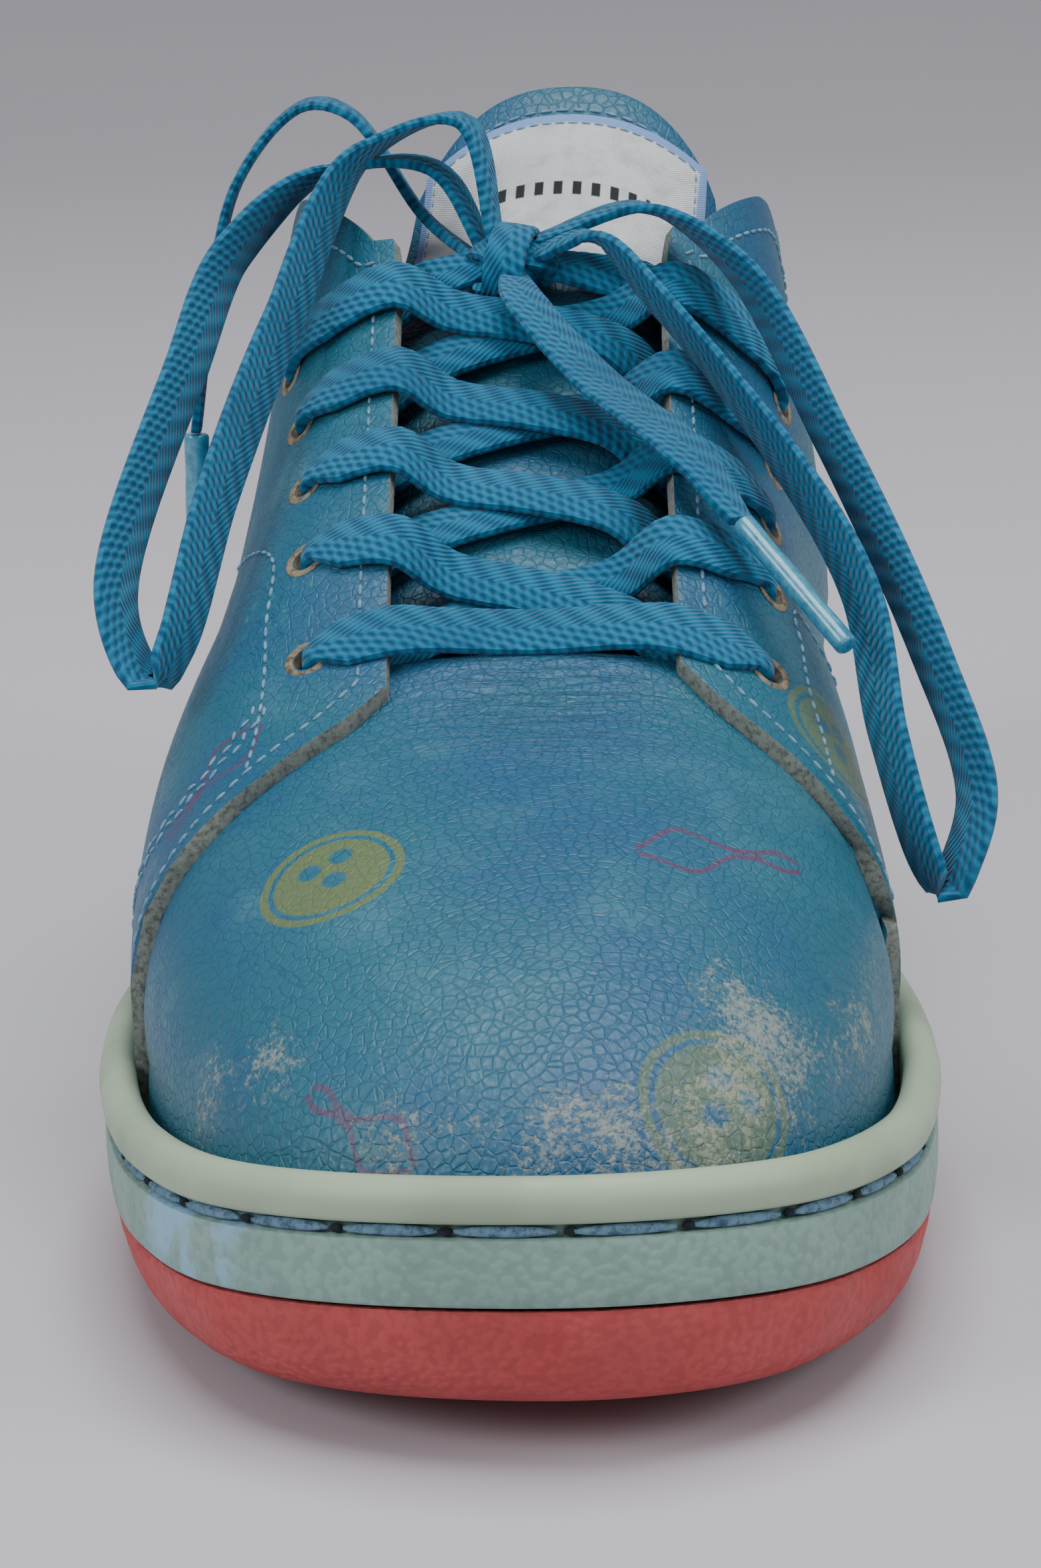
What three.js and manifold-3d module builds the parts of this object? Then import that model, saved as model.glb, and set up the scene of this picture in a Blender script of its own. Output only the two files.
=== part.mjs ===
// A right-foot lace-up bowling shoe with a stitched rubber cup sole, built up as the layers
// that a shoemaker assembles: sole unit, lasted upper, padded tongue and a flat lace tied in a bow.
// Millimetres, +Z up. The toe points along -Y, the big-toe (medial) side is +X, and the origin is
// on the ground under the middle of the sole.
import * as THREE from "three";
import { mergeVertices } from "three/addons/utils/BufferGeometryUtils.js";
import Module from "manifold-3d";

const wasm = await Module();
wasm.setup();

// ---------------------------------------------------------------- driving dimensions
const soleLength = 300;
const ballWidth = 108.5;
const toeSpring = 9; // how far the toe end of the sole lifts off the ground
const springStart = 80; // distance from the toe where that lift begins
const outsoleHeight = 12.5;
const cupHeight = 16; // from the outsole to the top of the lip
const cupFloor = 4.5;
const cupWall = 4.4;
const stitchHeight = 9.6; // of the sidewall stitch above the outsole
const grooveDepth = 1.8;
const grooveWidth = 1.6;
const threadDiameter = 0.8;
const foamHeight = 5;
const boardThickness = 1.6;
const footbedThickness = 3.4;
const liningThickness = 0.6;
const stiffenerThickness = 0.5;
const leatherThickness = 1.2;
const gap = 0.3; // between layers that lie on each other
const featherGap = 0.9; // between the upper and the wall of the cup
const ballBulge = 2.6; // how far the upper bulges over the sole at the ball
const throatHalf = 19.3; // half the space between the two eyelet edges
const throatStart = 94; // distance from the toe to the front of that space
const vampEnd = 100.5; // the vamp runs on a little beneath the first lace
const throatFlare = 10; // how much further apart the edges stand at the top
const flareStart = 160;
const eyeletRows = 6;
const lacedRows = 5;
const eyeletPitch = 15;
const firstEyelet = 103.5;
const eyeletHalf = 28; // half the distance across a row of eyelets
const eyeletRadius = 2.4;
const eyestayWidth = 19;
const heelHeight = 90; // top of the collar at the back
const ankleHeight = 80; // lowest point of the collar
const cornerHeight = 126; // top of the eyelet edge
const cornerAt = 191; // its distance from the toe
const collarPad = 24; // depth of the padded part of the collar
const tongueStart = 92;
const tongueEnd = 194;
const tongueHalf = 28; // half its greatest width
const tongueLean = 4; // how far its top leans to the medial side
const tongueFoamThickness = 3.2;
const labelWidth = 41;
const labelLength = 27;
const laceWidth = 7;
const crossingWidth = 6.2; // where two laces cross
const laceThickness = 1.5;
const laceInHole = 3; // width of the lace where it bunches in an eyelet
const agletLength = 24;
const agletRadius = 1.9;

// ---------------------------------------------------------------- materials
const paint = (color, roughness, metalness = 0) =>
  new THREE.MeshStandardMaterial({ color, roughness, metalness });
const coralRubber = paint(0xc4555b, 0.75);
const mintRubber = paint(0xa3c2b8, 0.6);
const blueLeather = paint(0x3f7f9d, 0.5);
const coralTextile = paint(0xd9776c, 0.9);
const tealLace = paint(0x1b7ca3, 0.85);
const whiteLabel = paint(0xe4e2db, 0.7);
const whiteFoam = paint(0xd8d6cf, 0.9);
const brownBoard = paint(0xb59f7c, 0.9);
const stiffener = paint(0xcfc6b4, 0.7);
const suede = paint(0x6f7f74, 0.95);
const thread = paint(0x8fa3b5, 0.8);
const clearTip = paint(0x7fb4c4, 0.25);

// ---------------------------------------------------------------- small helpers
const clamp = (v, lo, hi) => Math.min(hi, Math.max(lo, v));
const mix = (a, b, t) => a + (b - a) * t;
const smooth = (a, b, v) => {
  const t = clamp((v - a) / (b - a), 0, 1);
  return t * t * (3 - 2 * t);
};
const fromToe = (y) => y + soleLength / 2;
const atToe = (d) => d - soleLength / 2;

// Reads a smooth curve through [position, value] stations.
function curve(stations) {
  const last = stations.length - 1;
  const slope = (k) => {
    const a = stations[Math.max(k - 1, 0)];
    const b = stations[Math.min(k + 1, last)];
    return (b[1] - a[1]) / (b[0] - a[0]);
  };
  return (at) => {
    if (at <= stations[0][0]) return stations[0][1];
    if (at >= stations[last][0]) return stations[last][1];
    const i = stations.findIndex((s) => s[0] > at) - 1;
    const [x0, v0] = stations[i];
    const [x1, v1] = stations[i + 1];
    const h = x1 - x0;
    const t = (at - x0) / h;
    return (
      v0 * (1 + 2 * t) * (1 - t) ** 2 +
      slope(i) * h * t * (1 - t) ** 2 +
      v1 * t * t * (3 - 2 * t) +
      slope(i + 1) * h * t * t * (t - 1)
    );
  };
}

// Forms a geometry by moving each of its corners to place(x, y, z). Corners that come together are
// joined, faces that close up are dropped, and the rest are turned to face out.
function form(geometry, place) {
  for (const name of ["normal", "uv"]) geometry.deleteAttribute(name);
  const blank = mergeVertices(geometry, 1e-4);
  const position = blank.attributes.position;
  for (let i = 0; i < position.count; i++) {
    const p = place(position.getX(i), position.getY(i), position.getZ(i));
    position.setXYZ(i, p.x, p.y, p.z);
  }
  const joined = mergeVertices(blank, 1e-3);
  const at = (k) => new THREE.Vector3().fromBufferAttribute(joined.attributes.position, k);
  let faces = [];
  for (let i = 0; i < joined.index.count; i += 3) faces.push([0, 1, 2].map((k) => joined.index.getX(i + k)));
  faces = faces.filter(([a, b, c]) => a !== b && b !== c && a !== c);
  const volume = faces.reduce((sum, [a, b, c]) => sum + at(a).dot(at(b).cross(at(c))), 0);
  if (volume < 0) faces = faces.map(([a, b, c]) => [a, c, b]);
  return joined.setIndex(faces.flat());
}

// A block of unit size, with a grid of segments to form it by.
const block = (a, b, c) => new THREE.BoxGeometry(1, 1, 1, a, b, c).translate(0.5, 0.5, 0.5);

const shoe = new THREE.Group();
function add(name, geometry, material) {
  const mesh = new THREE.Mesh(geometry, material);
  mesh.name = name;
  shoe.add(mesh);
}

// Solids for boolean cuts, and back again.
function toSolid(geometry) {
  const numProp = 3;
  const vertProperties = new Float32Array(geometry.attributes.position.array);
  const triVerts = new Uint32Array(geometry.index.array);
  return new wasm.Manifold(new wasm.Mesh({ numProp, vertProperties, triVerts }));
}
function fromSolid(solid) {
  const { vertProperties, triVerts } = solid.getMesh();
  return new THREE.BufferGeometry()
    .setAttribute("position", new THREE.BufferAttribute(new Float32Array(vertProperties), 3))
    .setIndex(new THREE.BufferAttribute(new Uint32Array(triVerts), 1));
}

// ---------------------------------------------------------------- outline of the sole
// Round the edge from the toe tip, by the medial side to the heel and back by the lateral side:
// [share of the length from the toe, share of the ball width from the middle].
const edgePoints = [
  [0, 0.055],
  [0.012, 0.2],
  [0.045, 0.325],
  [0.12, 0.435],
  [0.21, 0.48],
  [0.29, 0.484],
  [0.39, 0.455],
  [0.5, 0.395],
  [0.62, 0.35],
  [0.76, 0.345],
  [0.87, 0.335],
  [0.95, 0.26],
  [0.988, 0.14],
  [1, 0],
  [0.988, -0.15],
  [0.95, -0.27],
  [0.87, -0.345],
  [0.76, -0.37],
  [0.62, -0.405],
  [0.5, -0.455],
  [0.41, -0.496],
  [0.32, -0.514],
  [0.23, -0.495],
  [0.14, -0.435],
  [0.065, -0.33],
  [0.02, -0.17],
].map(([along, across]) => new THREE.Vector3(across * ballWidth, atToe(along * soleLength), 0));

// The edge as even samples: half of them from toe to heel, half back again.
const half = 600;
const outline = (() => {
  const dense = new THREE.CatmullRomCurve3(edgePoints, true, "centripetal").getPoints(4000).slice(0, -1);
  const end = (sign) => dense.reduce((best, p, i) => (sign * p.y > sign * dense[best].y ? i : best), 0);
  const walk = (from, to) => {
    const steps = (to - from + dense.length) % dense.length;
    const span = Array.from({ length: steps + 1 }, (_, i) => dense[(from + i) % dense.length]);
    const run = [0];
    for (let i = 1; i < span.length; i++) run.push(run[i - 1] + span[i].distanceTo(span[i - 1]));
    return Array.from({ length: half }, (_, k) => {
      const want = (k / half) * run.at(-1);
      const j = Math.max(1, run.findIndex((r) => r >= want));
      return span[j - 1].clone().lerp(span[j], (want - run[j - 1]) / (run[j] - run[j - 1]));
    });
  };
  const [toe, heel] = [end(-1), end(1)];
  return [...walk(toe, heel), ...walk(heel, toe)];
})();

// The edge at u (0 at the toe, 0.5 at the heel), moved inwards by inset.
function edgeAt(u, inset) {
  const s = (((u % 1) + 1) % 1) * 2 * half;
  const i = Math.floor(s);
  const reach = 8;
  const pick = (k) => outline[(k + 2 * half) % (2 * half)];
  const p = pick(i).clone().lerp(pick(i + 1), s - i);
  const t = pick(i + 1 + reach).clone().sub(pick(i - reach)).normalize();
  return new THREE.Vector3(p.x - t.y * inset, p.y + t.x * inset, 0);
}

// ---------------------------------------------------------------- heights along the shoe
const springAt = (y) => toeSpring * clamp((springStart - fromToe(y)) / springStart, 0, 1) ** 2;
const outsoleTop = (y) => springAt(y) + outsoleHeight;
const floorTop = (y) => outsoleTop(y) + gap + cupFloor;
const above = (base, h) => (y) => base(y) + h;

// ---------------------------------------------------------------- sole unit
const ringSteps = 50; // the grid round the edge that every layer is formed on

// A solid as wide and long as the sole, from rings of [inset, height] round the edge.
function soleLayer(rings) {
  return form(block(1, ringSteps / 2, rings.length - 1), (side, along, level) => {
    const u = side > 0.5 ? along / 2 : 1 - along / 2;
    const [inset, height] = rings[Math.round(level * (rings.length - 1))];
    const p = edgeAt(u, typeof inset === "function" ? inset(edgeAt(u, 0).y) : inset);
    p.z = height(p.y);
    return p;
  });
}

add(
  "outsole",
  soleLayer([
    [9, springAt],
    [4.5, above(springAt, 1.2)],
    [1.8, above(springAt, 4.5)],
    [0.7, above(springAt, outsoleHeight - 1)],
    [0.9, above(springAt, outsoleHeight)],
  ]),
  coralRubber,
);
add(
  "sidewall_cup",
  soleLayer([
    [0.9, above(outsoleTop, gap)],
    [0.1, above(outsoleTop, 1.6)],
    [0, above(outsoleTop, stitchHeight - grooveWidth / 2)],
    [grooveDepth, above(outsoleTop, stitchHeight - grooveWidth / 2)],
    [grooveDepth, above(outsoleTop, stitchHeight + grooveWidth / 2)],
    [0, above(outsoleTop, stitchHeight + grooveWidth / 2)],
    [-0.2, above(outsoleTop, cupHeight - 3)],
    [0.9, above(outsoleTop, cupHeight - 0.7)],
    [2.4, above(outsoleTop, cupHeight)],
    [cupWall, above(outsoleTop, cupHeight - 1)],
    [cupWall, floorTop],
  ]),
  mintRubber,
);

// The thread that lies in the sidewall groove, one loop all the way round.
const threadInset = grooveDepth - threadDiameter / 2 - 0.2;
add(
  "sidewall_stitch",
  form(new THREE.TorusGeometry(10, 1, 4, ringSteps), (x, y, z) => {
    const u = Math.atan2(y, x) / (2 * Math.PI);
    const p = edgeAt(u, threadInset - ((Math.hypot(x, y) - 10) * threadDiameter) / 2);
    p.z = outsoleTop(p.y) + stitchHeight + (z * threadDiameter) / 2;
    return p;
  }),
  thread,
);

// ---------------------------------------------------------------- the last: shape inside the upper
// Each layer of the upper lies between two distances out from the last.
const layer = (start, thickness) => [start, start + thickness];
const liningLayer = layer(0, liningThickness);
const stiffLayer = layer(liningLayer[1] + gap + 0.1, stiffenerThickness);
const vampLayer = layer(stiffLayer[1] + gap + 0.1, leatherThickness);
const stayLayer = [vampLayer[0], vampLayer[1] - 0.5];
const quarterLayer = layer(vampLayer[1] + gap, leatherThickness);
const overlayLayer = layer(quarterLayer[1] + gap + 0.15, leatherThickness);
const ballAt = vampEnd; // the toe half fans out from here
const heelFanAt = soleLength - 50; // and the heel from here
const quarterStart = 72; // where the quarters reach the sole
const overlayStart = soleLength - 54; // where the heel overlay begins

const featherInset = (y) =>
  cupWall +
  featherGap +
  vampLayer[1] +
  (quarterLayer[1] - vampLayer[1]) * smooth(quarterStart - 8, quarterStart + 4, fromToe(y)) +
  (overlayLayer[1] - quarterLayer[1]) * smooth(overlayStart - 12, overlayStart + 2, fromToe(y));
const ridgeX = curve([
  [0, 4],
  [98, 2.2],
  [165, 2.2],
  [190, 3.2],
  [210, 4],
  [heelFanAt, 0.5],
  [soleLength, 0],
]);
const ridgeZ = curve([
  [0, 58],
  [30, 59.5],
  [60, 62],
  [88, 66.5],
  [101, 72.5],
  [117, 85],
  [134, 95.5],
  [149, 105],
  [164, 116.5],
  [178, 132],
  [190, 150],
  [206, 172],
  [230, 182],
  [soleLength, 182],
]);
const squareness = curve([
  [0, 2.4],
  [40, 2.6],
  [88, 3],
  [134, 3],
  [170, 3.1],
  [210, 3.2],
  [soleLength, 3],
]);
// How far the upper stands out beyond the sole above the waist and round the ankle, on each side.
const medialSpread = curve([
  [112, 0],
  [134, 3],
  [149, 5.5],
  [164, 9],
  [178, 11],
  [190, 9.5],
  [210, 8],
  [soleLength - 65, 5],
  [soleLength - 30, 1],
  [soleLength, 0],
]);
const lateralSpread = curve([
  [140, 0],
  [165, 1],
  [200, 1],
  [soleLength - 65, 3],
  [soleLength - 30, 1],
  [soleLength, 0],
]);
const bulgeAt = (d) => smooth(25, 75, d) * (1 - smooth(110, 170, d));

// A point of the last: u runs round the edge, psi climbs from the sole (0) to the ridge (a quarter turn).
const ridge = Math.PI / 2;
function lastPoint(u, psi) {
  const o = edgeAt(u, featherInset(edgeAt(u, 0).y));
  const cy = clamp(o.y, atToe(ballAt), atToe(heelFanAt));
  const cx = ridgeX(fromToe(cy));
  const n = squareness(fromToe(o.y));
  const reach = Math.cos(psi) ** (2 / n);
  const y = mix(cy, o.y, reach);
  const low = floorTop(y) + 2 * gap;
  const z = mix(low, ridgeZ(fromToe(y)), Math.sin(psi) ** (2 / n));
  const rise = clamp((z - low - 12) / 40, 0, 1);
  const spread = o.x > cx ? medialSpread(fromToe(y)) : lateralSpread(fromToe(y));
  const bow = spread * smooth(low + 17, 68, z) + ballBulge * bulgeAt(fromToe(y)) * 4 * rise * (1 - rise);
  return new THREE.Vector3(mix(cx, o.x, reach) + bow * reach * clamp((o.x - cx) / 15, -1, 1), y, z);
}

function lastNormal(u, psi) {
  if (psi > ridge - 1e-4) {
    const d = fromToe(lastPoint(u, ridge).y);
    return new THREE.Vector3(0, ridgeZ(d - 0.5) - ridgeZ(d + 0.5), 1).normalize();
  }
  const step = 0.012;
  const along = lastPoint(u + 0.0015, psi).sub(lastPoint(u - 0.0015, psi));
  const up = lastPoint(u, Math.min(psi + step, ridge)).sub(lastPoint(u, Math.max(psi - step, 0)));
  return along.cross(up).normalize();
}

function onLayer(u, psi, offset) {
  const p = lastPoint(u, psi).addScaledVector(lastNormal(u, psi), offset);
  return p.setZ(Math.max(p.z, floorTop(p.y) + 2 * gap));
}

// A sheet on the last between two offsets. Every sheet shares one grid, so stacked sheets stay parallel.
const climbs = [0, 4, 11, 22, 35, 48, 60, 72, 82, 90].map((a) => (a * Math.PI) / 180);
function sheet({ from, to, offsets }) {
  const even = Array.from({ length: 3 * ringSteps }, (_, i) => i / ringSteps - 1);
  const fan = [uAt(ballAt, 1), uAt(ballAt, -1) - 1, uAt(ballAt, -1)];
  const grid = [...even, ...fan].sort((a, b) => a - b);
  const around = [from, ...grid.filter((u) => u > from + 0.002 && u < to - 0.002), to];
  return form(block(around.length - 1, climbs.length - 1, 1), (a, b, c) => {
    const u = around[Math.round(a * (around.length - 1))];
    return onLayer(u, climbs[Math.round(b * (climbs.length - 1))], offsets[Math.round(c)]);
  });
}

// Where the feather edge lies at a distance from the toe, on the medial (1) or lateral (-1) side.
function uAt(d, side) {
  let [toe, heel] = side > 0 ? [0, 0.5] : [1, 0.5];
  for (let k = 0; k < 30; k++) {
    const mid = (toe + heel) / 2;
    if (fromToe(edgeAt(mid, featherInset(edgeAt(mid, 0).y)).y) < d) toe = mid;
    else heel = mid;
  }
  return (toe + heel) / 2;
}

// ---------------------------------------------------------------- inside the sole unit
const innerEdge = (y) => featherInset(y) + 1.3;
const foamTop = above(floorTop, gap + foamHeight);
const boardTop = above(foamTop, gap + boardThickness);
const footbedTop = above(boardTop, gap + footbedThickness);
add("midsole_foam", soleLayer([[innerEdge, above(floorTop, gap)], [innerEdge, foamTop]]), whiteFoam);
add("lasting_board", soleLayer([[innerEdge, above(foamTop, gap)], [innerEdge, boardTop]]), brownBoard);
const footbedEdge = (y) => innerEdge(y) + 1.4;
add("footbed", soleLayer([[footbedEdge, above(boardTop, gap)], [footbedEdge, footbedTop]]), coralTextile);

// ---------------------------------------------------------------- cutting dies
// A die is a prism that leaves the wanted part of a sheet: seen from above, or seen from the side.
function die(points, turn) {
  const prism = new THREE.ExtrudeGeometry(new THREE.Shape(points), { depth: 400, bevelEnabled: false, steps: 1 });
  return toSolid(form(prism, turn));
}
const fromAbove = (points) =>
  die(points.map(([x, d]) => new THREE.Vector2(x, atToe(d))), (x, y, z) => new THREE.Vector3(x, y, z - 100));
const fromSide = (points) =>
  die(points.map(([d, z]) => new THREE.Vector2(atToe(d), z)), (x, y, z) => new THREE.Vector3(z - 200, x, y));
// Offcuts are dropped.
function cutOut(geometry, ...dies) {
  const cut = dies.reduce((left, tool) => left.intersect(tool), toSolid(geometry));
  return cut.decompose().reduce((big, body) => (body.volume() > big.volume() ? body : big));
}
const far = 200;
const every = (step, from, to) =>
  Array.from({ length: Math.round((to - from) / step) + 1 }, (_, i) => mix(from, to, i / Math.round((to - from) / step)));

// ---------------------------------------------------------------- toe half of the upper
const toeHalf = { from: uAt(ballAt, -1) - 1, to: uAt(ballAt, 1) };
const puffEnd = 52;
add("vamp", sheet({ ...toeHalf, offsets: vampLayer }), blueLeather);
add("vamp_lining", sheet({ ...toeHalf, offsets: liningLayer }), coralTextile);
const puffDie = fromSide([[-20, -50], [puffEnd, -50], [puffEnd, far], [-20, far]]);
add("toe_puff", fromSolid(cutOut(sheet({ ...toeHalf, offsets: stiffLayer }), puffDie)), stiffener);

// ---------------------------------------------------------------- quarters
const throatAt = (d) => throatHalf + throatFlare * smooth(flareStart, cornerAt, d);
const collarAt = curve([
  [cornerAt - 6, cornerHeight + 3],
  [cornerAt, cornerHeight],
  [cornerAt + 10, cornerHeight - 16],
  [cornerAt + 24, ankleHeight + 9],
  [soleLength - 65, ankleHeight],
  [soleLength - 39, ankleHeight + 3],
  [soleLength - 17, heelHeight - 3],
  [soleLength, heelHeight],
]);
// The front edge of a quarter: [distance across from the ridge, distance from the toe].
const frontEdge = [
  [0, 0],
  [5.7, -5.5],
  [12.7, -10],
  [18.7, -13.5],
  [23.7, -16],
  [28, -17.5],
  [60, -18],
].map(([across, back]) => [throatHalf + across, throatStart + back]);
const frontSkew = 2; // the medial edge stands this much further back, the lateral one further forward

// The wall leans in below the flare of the throat, so its foot there is kept whole.
const waistTop = 60;
const waistDie = fromSide([
  [flareStart - 20, -50],
  [soleLength + 30, -50],
  [soleLength + 30, waistTop],
  [flareStart - 20, waistTop],
]);

// The region of one side from the throat outwards, with its edge moved back by trim.
function sideDie(side, trim, start = throatStart) {
  const front = frontEdge.map(([x, d]) => [x + trim, Math.max(d + frontSkew * side, start)]).reverse();
  const throat = every(10, throatStart + 6, cornerAt + 5).map((d) => [throatAt(d) + trim, d]);
  const round = [...front, ...throat, [0, cornerAt + 6], [0, 400], [far, 400]];
  const above = fromAbove(round.map(([x, d]) => [side * x + ridgeX(Math.min(d, 260)), d]));
  return above.add(waistDie);
}
const collarDie = (trim) =>
  fromSide([
    [40, -50],
    [40, far],
    [cornerAt - 6 - trim / 2, far],
    ...every(8, cornerAt - 6, soleLength + 12).map((d) => [d, collarAt(d) - trim]),
    [soleLength + 30, -50],
  ]);

// Eyelets: half the distance across a row, and its distance from the toe.
const eyeletX = (row) => eyeletHalf + 5 * smooth(2, eyeletRows, row);
const eyeletD = (row) => firstEyelet + row * eyeletPitch;

// The last at a distance across from the middle and a distance from the toe.
function surfaceAt(x, d, offset) {
  const u = uAt(d, x < ridgeX(d) ? -1 : 1);
  let [lo, hi] = [0.05, ridge];
  for (let k = 0; k < 26; k++) {
    const mid = (lo + hi) / 2;
    if (Math.abs(lastPoint(u, mid).x - ridgeX(d)) > Math.abs(x - ridgeX(d))) lo = mid;
    else hi = mid;
  }
  const psi = (lo + hi) / 2;
  const normal = lastNormal(u, psi);
  return { point: lastPoint(u, psi).addScaledVector(normal, offset), normal };
}

// A rod that punches one eyelet, standing square to the leather.
function punch(x, d) {
  const { point, normal } = surfaceAt(x, d, (liningLayer[0] + quarterLayer[1]) / 2);
  const turn = new THREE.Quaternion().setFromUnitVectors(new THREE.Vector3(0, 1, 0), normal);
  const rod = new THREE.CylinderGeometry(eyeletRadius, eyeletRadius, 14, 8, 1);
  return toSolid(form(rod, (...p) => new THREE.Vector3(...p).applyQuaternion(turn).add(point)));
}
const rows = Array.from({ length: eyeletRows }, (_, row) => row);
const punched = (solid, side) =>
  fromSolid(rows.reduce((left, row) => left.subtract(punch(ridgeX(eyeletD(row)) + side * eyeletX(row), eyeletD(row))), solid));

const heelSeam = 0.0008; // half the gap between the two sides at the back
const sideRange = (side, start) =>
  side > 0 ? { from: uAt(start, 1), to: 0.5 - heelSeam } : { from: 0.5 + heelSeam, to: uAt(start, -1) };
const stayDie = (side) =>
  fromAbove(
    [
      ...every(12, ballAt, cornerAt - 8).map((d) => [throatAt(d) + 0.3, d]),
      ...every(12, ballAt, cornerAt - 8).reverse().map((d) => [throatAt(d) + eyestayWidth, d]),
    ].map(([x, d]) => [side * x + ridgeX(d), d]),
  );

const stayFoot = fromSide([[ballAt, 56], [240, 96], [240, far], [ballAt, far]]);

for (const [name, side] of [["medial", 1], ["lateral", -1]]) {
  const front = sideRange(side, throatStart - 26);
  const back = sideRange(side, ballAt + gap + 0.3);
  const quarter = cutOut(sheet({ ...front, offsets: quarterLayer }), sideDie(side, 0, 0), collarDie(0));
  add("quarter_" + name, punched(quarter, side), blueLeather);
  const backing = cutOut(sheet({ ...back, offsets: stayLayer }), stayDie(side), collarDie(0.5), stayFoot);
  add("eyestay_backing_" + name, punched(backing, side), suede);
  const lining = cutOut(sheet({ ...back, offsets: liningLayer }), sideDie(side, 0.4), collarDie(0.8));
  add("quarter_lining_" + name, punched(lining, side), coralTextile);
}

// ---------------------------------------------------------------- heel and collar
const roundHeel = (start) => ({ from: uAt(start, 1), to: uAt(start, -1) });
const counterStart = soleLength - 64;
const counterTop = 52;
const heelStep = (d) => 46 + 0.12 * (d - overlayStart); // top edge of the heel overlay
const pastHeel = soleLength + 20;
const belowLine = (line, from, low = -50) =>
  fromSide([[from, low], ...every(8, from, pastHeel).map((d) => [d, line(d)]), [pastHeel + 10, line(pastHeel)], [pastHeel + 10, low]]);
add(
  "heel_counter",
  fromSolid(cutOut(sheet({ ...roundHeel(counterStart), offsets: stiffLayer }), belowLine(() => counterTop, 200))),
  stiffener,
);
const padDie = fromSide([
  ...every(8, cornerAt + 12, pastHeel).map((d) => [d, collarAt(d) - 2]),
  ...every(8, cornerAt + 12, pastHeel).reverse().map((d) => [d, collarAt(d) - collarPad]),
]);
add(
  "collar_foam",
  fromSolid(cutOut(sheet({ ...roundHeel(cornerAt + 10), offsets: [stiffLayer[0] + 0.2, vampLayer[1] - 0.3] }), padDie)),
  whiteFoam,
);
add(
  "heel_overlay",
  fromSolid(cutOut(sheet({ ...roundHeel(overlayStart + 2), offsets: overlayLayer }), belowLine(heelStep, 200))),
  blueLeather,
);
const tabDie = fromSide([
  ...every(8, pastHeel - 120, pastHeel).map((d) => [d, heelStep(d) + 0.5]),
  [pastHeel, heelHeight - 1],
  [pastHeel - 120, heelHeight - 1],
]);
add("heel_tab", fromSolid(cutOut(sheet({ from: 0.482, to: 0.518, offsets: overlayLayer }), tabDie)), blueLeather);

// ---------------------------------------------------------------- tongue
const tongueGap = laceThickness + 2.4; // room for the lace between the tongue and the lining
const tongueZ = curve([
  [tongueStart, 80],
  [134, 93],
  [149, 101],
  [160, 108],
  [172, 117],
  [183, 127.5],
  [tongueEnd, 139.5],
]);
const tongueRoom = (d) => mix(1.2, 1.3 * tongueGap, smooth(tongueStart + 7, tongueStart + 13, d));
const tongueReach = curve([
  [tongueStart, tongueHalf * 0.71],
  [134, tongueHalf * 0.9],
  [164, tongueHalf],
  [174, tongueHalf * 0.93],
  [184, tongueHalf * 0.83],
  [tongueEnd, tongueHalf * 0.76],
]);
const tongueDrop = curve([
  [tongueStart, 4],
  [104, 4.6],
  [134, 6.8],
  [164, 11.5],
  [179, 13],
  [tongueEnd, 9],
]);
const tongueX = (d) => ridgeX(d) + tongueLean * smooth(150, tongueEnd, d);

// A point of the tongue: d along it, v across it from -1 to 1.
function tonguePoint(d, v) {
  const drop = tongueDrop(d) * Math.abs(v) ** 2.2;
  const x = tongueX(d) + v * tongueReach(d);
  const back = Math.max(d, ballAt);
  const ceiling = surfaceAt(x, back, 0).point.z + ridgeZ(d) - ridgeZ(back) - tongueRoom(d);
  const own = tongueZ(d) - drop;
  return new THREE.Vector3(x, atToe(d), -Math.log(Math.exp(-own) + Math.exp(-ceiling)));
}
function onTongue(d, v, offset) {
  const across = tonguePoint(d, v + 0.02).sub(tonguePoint(d, v - 0.02));
  const along = tonguePoint(d + 0.4, v).sub(tonguePoint(d - 0.4, v));
  return tonguePoint(d, v).addScaledVector(across.cross(along).normalize(), offset);
}
function tongueSheet({ offsets }) {
  return form(block(6, 13, 1), (a, b, c) => {
    const v = mix(-1, 1, a);
    const end = tongueEnd - 5 * Math.abs(v) ** 4;
    return onTongue(mix(tongueStart, end, b), v, offsets[Math.round(c)]);
  });
}
const tongueLeather = [-leatherThickness, 0];
const tongueFoam = [tongueLeather[0] - 0.7 - tongueFoamThickness, tongueLeather[0] - 0.7];
const tongueLining = [tongueFoam[0] - 0.7 - liningThickness, tongueFoam[0] - 0.7];
add("tongue_leather", tongueSheet({ offsets: tongueLeather }), blueLeather);
add("tongue_foam", tongueSheet({ offsets: tongueFoam }), whiteFoam);
add("tongue_lining", tongueSheet({ offsets: tongueLining }), coralTextile);
const labelEnd = tongueEnd - 4;
add(
  "tongue_label",
  form(block(6, 4, 1), (a, b, c) => {
    const d = labelEnd - ((1 - b) * labelLength) / 1.42;
    const v = (mix(-0.5, 0.5, a) * labelWidth) / tongueReach(d);
    return onTongue(d, v, c > 0.5 ? 2 * gap + 0.7 : 2 * gap);
  }),
  whiteLabel,
);

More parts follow.
